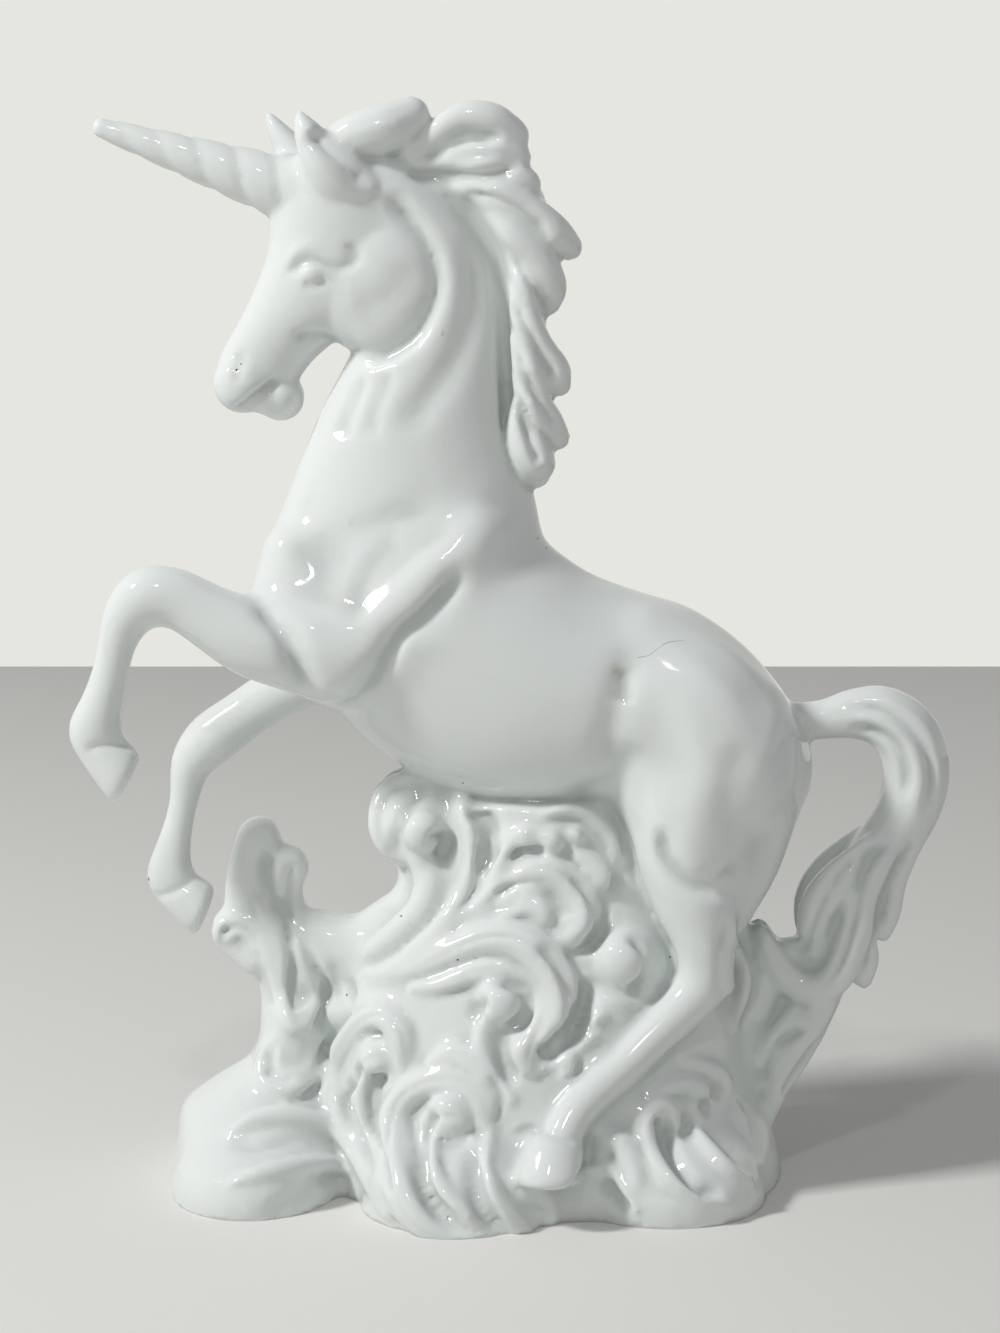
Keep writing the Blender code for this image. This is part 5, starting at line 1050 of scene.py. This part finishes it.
# These press the finished skin.
fineLines = [
    (0.8, 0.6, [(-40.6, 170.1), (-37.3, 171.3), (-33, 170.1), (-30.9, 169)]),
    (0.6, 0.85, [(-52.7, 156.8), (-50.3, 157.4), (-48.3, 159.2), (-45.6, 160.9), (-42.4, 163.1)]),
    (0.7, -0.35, [(-50.0, 156.0), (-47.2, 157.6), (-44.3, 159.1)]),
    (0.65, 0.5, [(-41.7, 182.1), (-39.9, 184.2), (-37.4, 185.7), (-34.7, 185.3), (-31.4, 184.4),
                 (-28.5, 185.3), (-26.6, 187.5)]),
    (0.6, 0.28, [(-38.4, 181.3), (-35.9, 180.7), (-33.2, 181.9)]),
    (1.8, 0.35, [(-28.1, 175.2), (-23.1, 177.3), (-19.2, 181.2), (-17.2, 185.4)]),
    (1.3, 0.6, [(-26.3, 164.2), (-29.1, 156.8), (-31.9, 151.0)]),
    (1.3, 0.5, [(-21.2, 165.4), (-23.9, 158.5), (-26.3, 151.1)]),
    (1.6, 1.6, [(-36.4, 211.0), (-33.4, 207.6), (-29.0, 203.6), (-24.6, 199.8)]),
    (0.7, 0.35, [(-50.6, 168.3), (-51.0, 164.8), (-51.6, 161.3)]),
    (1.0, 0.95, [(-7.3, 126.9), (-9.6, 123.3), (-13.9, 119.2), (-18.8, 114.7), (-21.6, 110.4),
                (-23.6, 106.0), (-27.3, 101.7), (-31.6, 99.3), (-35.5, 100.1)]),
    (1.5, 0.5, [(-18.7, 133.9), (-22.8, 129.6), (-26.0, 124.9), (-27.6, 120.8), (-28.8, 115.9)]),
    (1.7, 0.35, [(-11.4, 138.1), (-19.9, 135.9), (-29.6, 133.8), (-37.3, 129.5), (-40.6, 127.3)]),
    (0.9, 0.6, [(-48.3, 120.7), (-43.6, 115.7), (-40.2, 109.8), (-38.7, 102.1)]),
    (0.55, 0.42, [(-80.9, 91.2), (-77.7, 92.4), (-73.8, 92.2), (-70.2, 90.0)]),
    (0.55, 0.42, [(-73.3, 55.1), (-68.2, 56.6), (-62.6, 59.3)]),
    (0.6, 0.5, [(2.0, 16.5), (6.3, 18.5), (11.3, 18.5), (16.3, 16.1)]),
    (0.9, 0.65, [(31.2, 77.2), (32.1, 71.2), (36.0, 66.4), (41.9, 63.3), (47.3, 62.5)]),
    (0.9, 0.45, [(44.3, 58.1), (43.0, 51.3), (43.3, 44.2), (44.7, 37.9)]),
    (1.9, 0.4, [(47.9, 93.5), (44.7, 87.0), (44.5, 80.2), (46.6, 74.5)]),
    (1.2, 0.5, [(23.2, 107.4), (24.0, 103.9), (23.4, 100.3)]),
    (0.9, 0.9, [(68, 97.4), (74.5, 97.4), (80.2, 94.4), (84.6, 89), (86.2, 82), (84.5, 75)]),
    (0.9, 0.9, [(69, 93), (74.5, 92.4), (78.8, 89.4), (80.6, 84.3), (79.6, 78)]),
    (0.8, 1.2, [(79.9, 71.3), (74.2, 67.9), (71.7, 62.2), (70.6, 55.4), (68.3, 48), (64.6, 40.5)]),
    (0.8, 1.2, [(83.5, 71.3), (79.1, 64.5), (76.4, 55.4), (74.7, 48.6), (72.6, 41.9)]),
    (0.9, 1.2, [(74.1, 70.2), (67.6, 64.5), (64.8, 57.7), (62.8, 50.8), (59.5, 46.8)]),
    (0.8, 1, [(63, 33.1), (56.9, 30.2), (53.8, 25.6), (52.6, 20.3)]),
    (0.8, 1, [(64.8, 30.2), (59.8, 23.2), (57.1, 17.4)]),
    (0.9, 1.1, [(-16.3, 204.2), (-11.4, 206.6), (-6, 208.5), (0.6, 209.1)]),
    (0.9, 1.1, [(-18.4, 202.6), (-10.3, 201.9), (-2.3, 202.1), (4.2, 204)]),
    (0.9, 1.1, [(-7.1, 198.4), (-1.2, 197.3), (4.7, 194.6), (10.2, 189.8)]),
    (0.8, 1, [(1.5, 186.1), (4.8, 182.9), (8.6, 177.5), (10.2, 173.2)]),
    (0.8, 1, [(2.1, 177.5), (4.8, 173.2), (8.6, 166.7), (11.3, 161.8)]),
    (0.8, 1, [(2.4, 168.9), (4.8, 163.4), (8.6, 157.5), (11.9, 151.5)]),
    (0.8, 1, [(2.6, 160.2), (4.8, 154.7), (6.4, 149.8), (8.1, 146)])]
# Grooves between the rolls of foam, in the same form; these press the skin before its last smoothing.
foamGrooves = [
    (0.9, 2, [(-27.2, 27.4), (-29.6, 24.9), (-30.5, 20.8), (-29.8, 16.7), (-27.7, 12.6), (-24.9, 8.9)]),
    (0.9, 2.2, [(-21.6, 25.5), (-24.2, 24.6), (-25.1, 21.3), (-24.9, 15.6), (-23.5, 11.2), (-21.4, 7.4)]),
    (0.9, 2.2, [(-11.8, 20.3), (-14.4, 19.4), (-15.5, 14.8), (-14.9, 9.7), (-12.2, 5.6), (-7.3, 1.6)]),
    (0.9, 1.6, [(-5.4, 16.2), (-5.2, 13), (-4.4, 8.7), (-2.4, 4.5), (0, 1.6)]),
    (0.9, 1.8, [(-14.5, 71.4), (-12, 72.6), (-10.6, 71.4), (-11.3, 69.5), (-13.4, 68.5)]),
    (0.9, 1.3, [(-20.2, 66.9), (-21, 71), (-19.9, 74.5), (-17.6, 79.3), (-14.5, 80.6)]),
    (1.2, 2.7, [(-7.4, 78.1), (-3.7, 77), (-2.1, 73.7), (-3.2, 68.3), (-5.9, 62.9), (-9.9, 57)]),
    (0.9, 1.4, [(-46.8, 68), (-47.4, 63), (-45.8, 58.5), (-43.4, 54.5)]),
    (0.9, 1.4, [(-41.2, 66.2), (-42.3, 62), (-42.7, 57), (-41.4, 53)]),
    (0.9, 1.4, [(-31, 43), (-30, 39.6), (-31.5, 35), (-33.8, 30.9), (-35.3, 26.9), (-35.6, 21.4)]),
    (0.9, 0.7, [(-53.7, 12.8), (-47.6, 12), (-40.1, 12.8), (-34.6, 10.3)]),
    (1.2, 0.8, [(-46.2, 0.4), (-42.2, 3), (-37.2, 4.6), (-32, 3.7)]),
    (0.9, 1.1, [(-43, 55), (-40, 50.5), (-38, 46), (-35.5, 40.5), (-35.5, 36)]),
    (0.9, 1.8, [(-4.4, 16.3), (-5.3, 12), (-4.4, 7.3), (-1.5, 3.1), (3, -1)]),
    (0.9, 0.7, [(7.8, 62.1), (10.8, 61.1), (11.8, 58.6), (10.8, 56.4)]),
    (0.9, 1.8, [(-2, 46.4), (2, 46), (4.9, 44.1), (5.6, 40.9), (3.7, 38), (0, 37.4)]),
    (0.9, 1.5, [(-3.5, 39.3), (-4.7, 40.4), (-3.9, 41.8), (-2.4, 41.9)]),
    (1.1, 2.5, [(15.4, 42.6), (14.6, 37.5), (11, 34.3), (7.8, 30.1)]),
    (0.9, 1.5, [(1.8, 37.1), (0.2, 33.3), (1, 29.6), (3.6, 27.1)]),
    (0.9, 1.8, [(17.9, 46.2), (16.7, 42.1), (15.1, 37.7)]),
    (0.9, 1.8, [(24.4, 54.6), (28, 52.5), (29.3, 48.2), (27.7, 45), (24.5, 43.5)]),
    (0.9, 2, [(33.6, 17.4), (32.4, 14.8), (34.3, 11.3), (38.8, 7.9), (43.5, 6.2)]),
    (0.9, 1.4, [(37.4, 19), (36.8, 16.5), (35.6, 14.9)]),
    (0.9, 1.4, [(43.9, 22.8), (41.5, 20.3), (39.4, 19.3)]),
    (0.9, 1.6, [(16.8, 17.4), (17.5, 14.2), (16, 10.9), (13.6, 9.1)]),
    (0.9, 1.3, [(20, 8.8), (22.5, 5.4), (25.1, 2.9)]),
    (0.9, 1.4, [(11.8, 67.5), (16.1, 64.4), (19.2, 60.3), (19.7, 56.7), (18.1, 53.5), (15.2, 51.9)]),
    (0.9, 1.4, [(7.3, 53.9), (11.3, 50.5), (13.3, 46.8), (15.2, 42.1)]),
    (0.9, 0.5, [(12.3, 74.6), (13, 71.7), (11.3, 69.2)]),
    (0.9, 1.1, [(22.4, 66.1), (22.7, 63.3), (20.4, 61.2)]),
    (0.9, 0.8, [(-0.5, 65.6), (2.9, 68.3), (6.6, 70.1), (9.4, 70.5)]),
    (0.9, 1.3, [(-2.4, 28.5), (-0.2, 24.9), (0.2, 21.6), (-1.7, 17.8)])]
# Small hollows: width and depth as shares, then a drawn (x, z) point.
smallHollows = [(0.9, 0.45, -28.6, 187.6)]


rollSettings = {"lightX": -0.64, "lightZ": 0.77, "leastPoints": 6, "edge": 1.12, "fullDrop": 0.5,
                "undercut": 0.0012, "undercutWidth": 0.0009, "ramp": 0.0005, "rampWidth": 0.0016,
                "flute": 0.0005, "fluteWidth": 0.0007, "fluteShare": 0.62, "fluteAside": 0.30,
                "fluteFade": 0.6}


def beside(rows, offset):
    # The rows moved across their own run by a share of their radius, seen from the side,
    # and how far each of them then lies on the roll's shaded side.
    run = np.gradient(rows[:, [0, 2]], axis=0)
    run = run / np.maximum(np.linalg.norm(run, axis=1), 1e-9)[:, None]
    moved = rows.copy()
    moved[:, 0] -= run[:, 1] * rows[:, 3] * offset
    moved[:, 2] += run[:, 0] * rows[:, 3] * offset
    shade = run[:, 1] * rollSettings["lightX"] - run[:, 0] * rollSettings["lightZ"]
    return moved, shade * np.sign(offset)


def cutUnder(rows, crown, skin, side, places, normals):
    # A roll is cut under along its shaded edge and ramped up along the other, where it drops at all.
    for offset in (rollSettings["edge"], -rollSettings["edge"]):
        edge, shade = beside(rows, offset)
        laid = drape(edge, skin, side)
        if len(laid) < len(rows):
            continue
        fullDrop = rows[:, 3] * rollSettings["fullDrop"]
        lower = np.clip((laid[:, 1] - crown[:, 1]) * -side / fullDrop, 0, 1)
        carve(places, normals, laid, rollSettings["undercut"] * np.maximum(shade, 0) * lower,
              rollSettings["undercutWidth"])
        carve(places, normals, laid, -rollSettings["ramp"] * np.maximum(-shade, 0) * lower,
              rollSettings["rampWidth"])


def flute(rows, skin, side, places, normals):
    # A groove along a roll's lit side, deepest where the roll is broad.
    aside = rollSettings["fluteAside"] * np.sign(beside(rows, -1.0)[1].mean())
    laid = drape(beside(rows, aside)[0], skin, side)
    if len(laid) == len(rows):
        broad = rows[:, 3] / waveSettings["scrollRadius"] / rollSettings["fluteShare"]
        broad = np.clip(broad - rollSettings["fluteFade"], 0, 1)
        carve(places, normals, laid, rollSettings["flute"] * broad, rollSettings["fluteWidth"])


def trimRolls(body):
    # Edges and flutes on every long roll of foam whose crown shows.
    skin = skinOf(body)
    places, normals = placesOf(body.data), normalsOf(body.data)
    for side in (-1, 1):
        for cord in foamCords:
            rows = foamRows(cord)
            crown = drape(rows, skin, side)
            if len(crown) < len(rows) or len(cord) < rollSettings["leastPoints"]:
                continue
            cutUnder(rows, crown, skin, side, places, normals)
            if rows[:, 3].max() > waveSettings["scrollRadius"] * rollSettings["fluteShare"]:
                flute(rows, skin, side, places, normals)
    setPlaces(body.data, places)


def horse():
    body = fuse("horse", [barrel(), neck(), skull(), muscles(), *nearForeleg(), *farForeleg(),
                          *nearHindLeg(), *farHindLeg()])
    soften(body, skinSettings["bodyFillet"], True)
    soften(body, skinSettings["bodySmoothing"], False)
    return body


def waves():
    body = fuse("waves", [mound(), leftSwell(), footLobes(), finger(), foamRidge(), crest()])
    soften(body, skinSettings["bodyFillet"], True)
    return body


def figure():
    core = fuse("core", [horse(), waves(), maneCore(), tail()])
    carveLines(core, foldLines)
    body = fuse("unicornFigurine", [core, face(), brows(), *ears(), horn(), maneLocks(),
                                    *foam(skinOf(core))])
    soften(body, skinSettings["figureFillet"], True)
    carveLines(body, foamGrooves)
    soften(body, skinSettings["smoothing"], False)
    trimRolls(body)
    carveLines(body, fineLines, smallHollows)
    return body


def markPoolingAndShade(mesh):
    # Painted shade in the hollows, partly also the glaze running thick there: measured as how far a vertex
    # lies below its neighbours.
    mean = neighbourMean(mesh)
    places, normals = placesOf(mesh), normalsOf(mesh)
    hollow = ((mean(places) - places) * normals).sum(axis=1)
    for step in range(glazeSettings["poolAndShadePasses"]):
        hollow = (hollow + mean(hollow)) / 2
    attribute = mesh.attributes.new("poolingAndShade", "FLOAT", "POINT")
    attribute.data.foreach_set("value", np.clip(hollow / glazeSettings["poolAndShadeDepth"], 0, 1))


def closeFoot(mesh):
    # Cuts the skin off at the table and closes it there.
    form = bmesh.new()
    form.from_mesh(mesh)
    bmesh.ops.bisect_plane(form, geom=form.verts[:] + form.edges[:] + form.faces[:],
                           plane_co=(0, 0, 0), plane_no=(0, 0, -1), clear_outer=True)
    bmesh.ops.holes_fill(form, edges=[edge for edge in form.edges if edge.is_boundary])
    form.to_mesh(mesh)
    form.free()


def finishPiece(piece):
    # Centres the figure on the origin, closes its foot, thins its skin and glazes it.
    places = placesOf(piece.data)
    middle = (places.min(axis=0) + places.max(axis=0)) / 2
    setPlaces(piece.data, places - np.array([middle[0], middle[1], 0]))
    closeFoot(piece.data)
    triangles = sum(len(face.vertices) - 2 for face in piece.data.polygons)
    thinner = piece.modifiers.new("Thin", "DECIMATE")
    thinner.ratio = min(1.0, skinSettings["triangles"] / triangles)
    applyModifiers(piece)
    piece.data.shade_smooth()
    markPoolingAndShade(piece.data)
    piece.data.materials.clear()
    piece.data.materials.append(porcelain)


figurine = figure()
finishPiece(figurine)
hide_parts("unicorn_figurine")
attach(figurine, "root")
print("figurine finished", len(figurine.data.polygons))

# The hairline in the glaze over the rump: drawn (x, z) points, laid on the near side
hairlineSettings = {"thickness": 0.00004, "colour": "#7E7A75", "roughness": 0.7, "sides": 6,
                    "points": [(23.7, 109.3), (25.7, 109.7), (27.3, 110.7), (29.6, 112.1), (32.7, 112.3)]}


def hairlineTree():
    # A round thread of even thickness along a curve.
    tree, identifiers, sizes = newTree("glaze hairline", {
        "Geometry": "Geometry", "Thickness": "Float", "Sides": "Int", "Material": "Material"})
    ring = addNode(tree, "GeometryNodeCurvePrimitiveCircle", {},
                   {"Resolution": sizes["Sides"], "Radius": sizes["Thickness"]})
    thread = addNode(tree, "GeometryNodeCurveToMesh", {"Fill Caps": True},
                     {"Curve": sizes["Geometry"], "Profile Curve": ring.outputs["Curve"]})
    endTree(tree, thread.outputs["Mesh"], sizes["Material"])
    return tree, identifiers


def hairline():
    # The thread is made along a path on the near side, and the path is removed.
    curve = bpy.data.curves.new("hairline", "CURVE")
    curve.dimensions = "3D"
    addSpline(curve, drape(drawnLine(hairlineSettings["points"]), skinOf(figurine), -1))
    path = addPiece("hairlinePath", curve)
    tree, identifiers = hairlineTree()
    mesh = treeMesh(path, tree, identifiers, {
        "Thickness": hairlineSettings["thickness"], "Sides": hairlineSettings["sides"],
        "Material": plainMaterial("soiled crack in the glaze", hairlineSettings["colour"],
                                  hairlineSettings["roughness"])})
    bpy.data.objects.remove(path)
    return addPiece("hairline", mesh)


crack = hairline()
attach(crack, "root")
print("hairline laid", len(crack.data.polygons))

# Floor, backdrop and lights
stageSettings = {"floor": "#E6E5E1", "floorRoughness": 0.9, "wall": "#E6E6E0", "light": "#E6E8EA",
                 "lightStrength": 0.31, "width": 4.0, "front": -1.4, "back": 0.70}
lampAim = (0, 0, 0.10)
lampSettings = [
    {"name": "key", "place": (-0.88, -0.40, 0.92), "size": 0.18, "power": 11.2},
    {"name": "window", "place": (-0.16, -0.86, 0.90), "size": 0.07, "power": 1.1},
    {"name": "fill", "place": (0.85, -0.50, 0.50), "size": 0.60, "power": 0.2}]


def addTable():
    side, front, back = stageSettings["width"] / 2, stageSettings["front"], stageSettings["back"]
    corners = [(-side, front, 0), (side, front, 0), (side, back, 0), (-side, back, 0)]
    form = bmesh.new()
    form.faces.new([form.verts.new(corner) for corner in corners])
    mesh = bpy.data.meshes.new("pale_table")
    form.to_mesh(mesh)
    form.free()
    mesh.materials.append(plainMaterial("matt table paper", stageSettings["floor"],
                                        stageSettings["floorRoughness"]))
    addPiece("pale_table", mesh)


def addWorld():
    # Soft light from all round; the camera and the glaze see it as a pale wall.
    world = bpy.data.worlds.new("studio")
    bpy.context.scene.world = world
    world.use_nodes = True
    tree = world.node_tree
    light = tree.nodes["Background"]
    light.inputs["Color"].default_value = hexToLinear(stageSettings["light"])
    light.inputs["Strength"].default_value = stageSettings["lightStrength"]
    wall = addNode(tree, "ShaderNodeBackground",
                   {"Color": hexToLinear(stageSettings["wall"]), "Strength": 1.0})
    rays = addNode(tree, "ShaderNodeLightPath").outputs
    seen = maths(tree, "MAXIMUM", rays["Is Camera Ray"], rays["Is Glossy Ray"])
    seen = maths(tree, "MAXIMUM", seen, rays["Is Transmission Ray"])
    mix = addNode(tree, "ShaderNodeMixShader", {}, {"Fac": seen})
    tree.links.new(light.outputs["Background"], mix.inputs[1])
    tree.links.new(wall.outputs["Background"], mix.inputs[2])
    tree.links.new(mix.outputs["Shader"], tree.nodes["World Output"].inputs["Surface"])


def addLamps():
    for lamp in lampSettings:
        light = bpy.data.lights.new(lamp["name"], "AREA")
        light.energy = lamp["power"]
        light.size = lamp["size"]
        holder = addPiece(lamp["name"], light)
        holder.location = lamp["place"]
        aimAt(holder, lampAim)


addTable()
addWorld()
addLamps()
bpy.context.scene.view_settings.view_transform = "Standard"
print("stage and lamps placed")
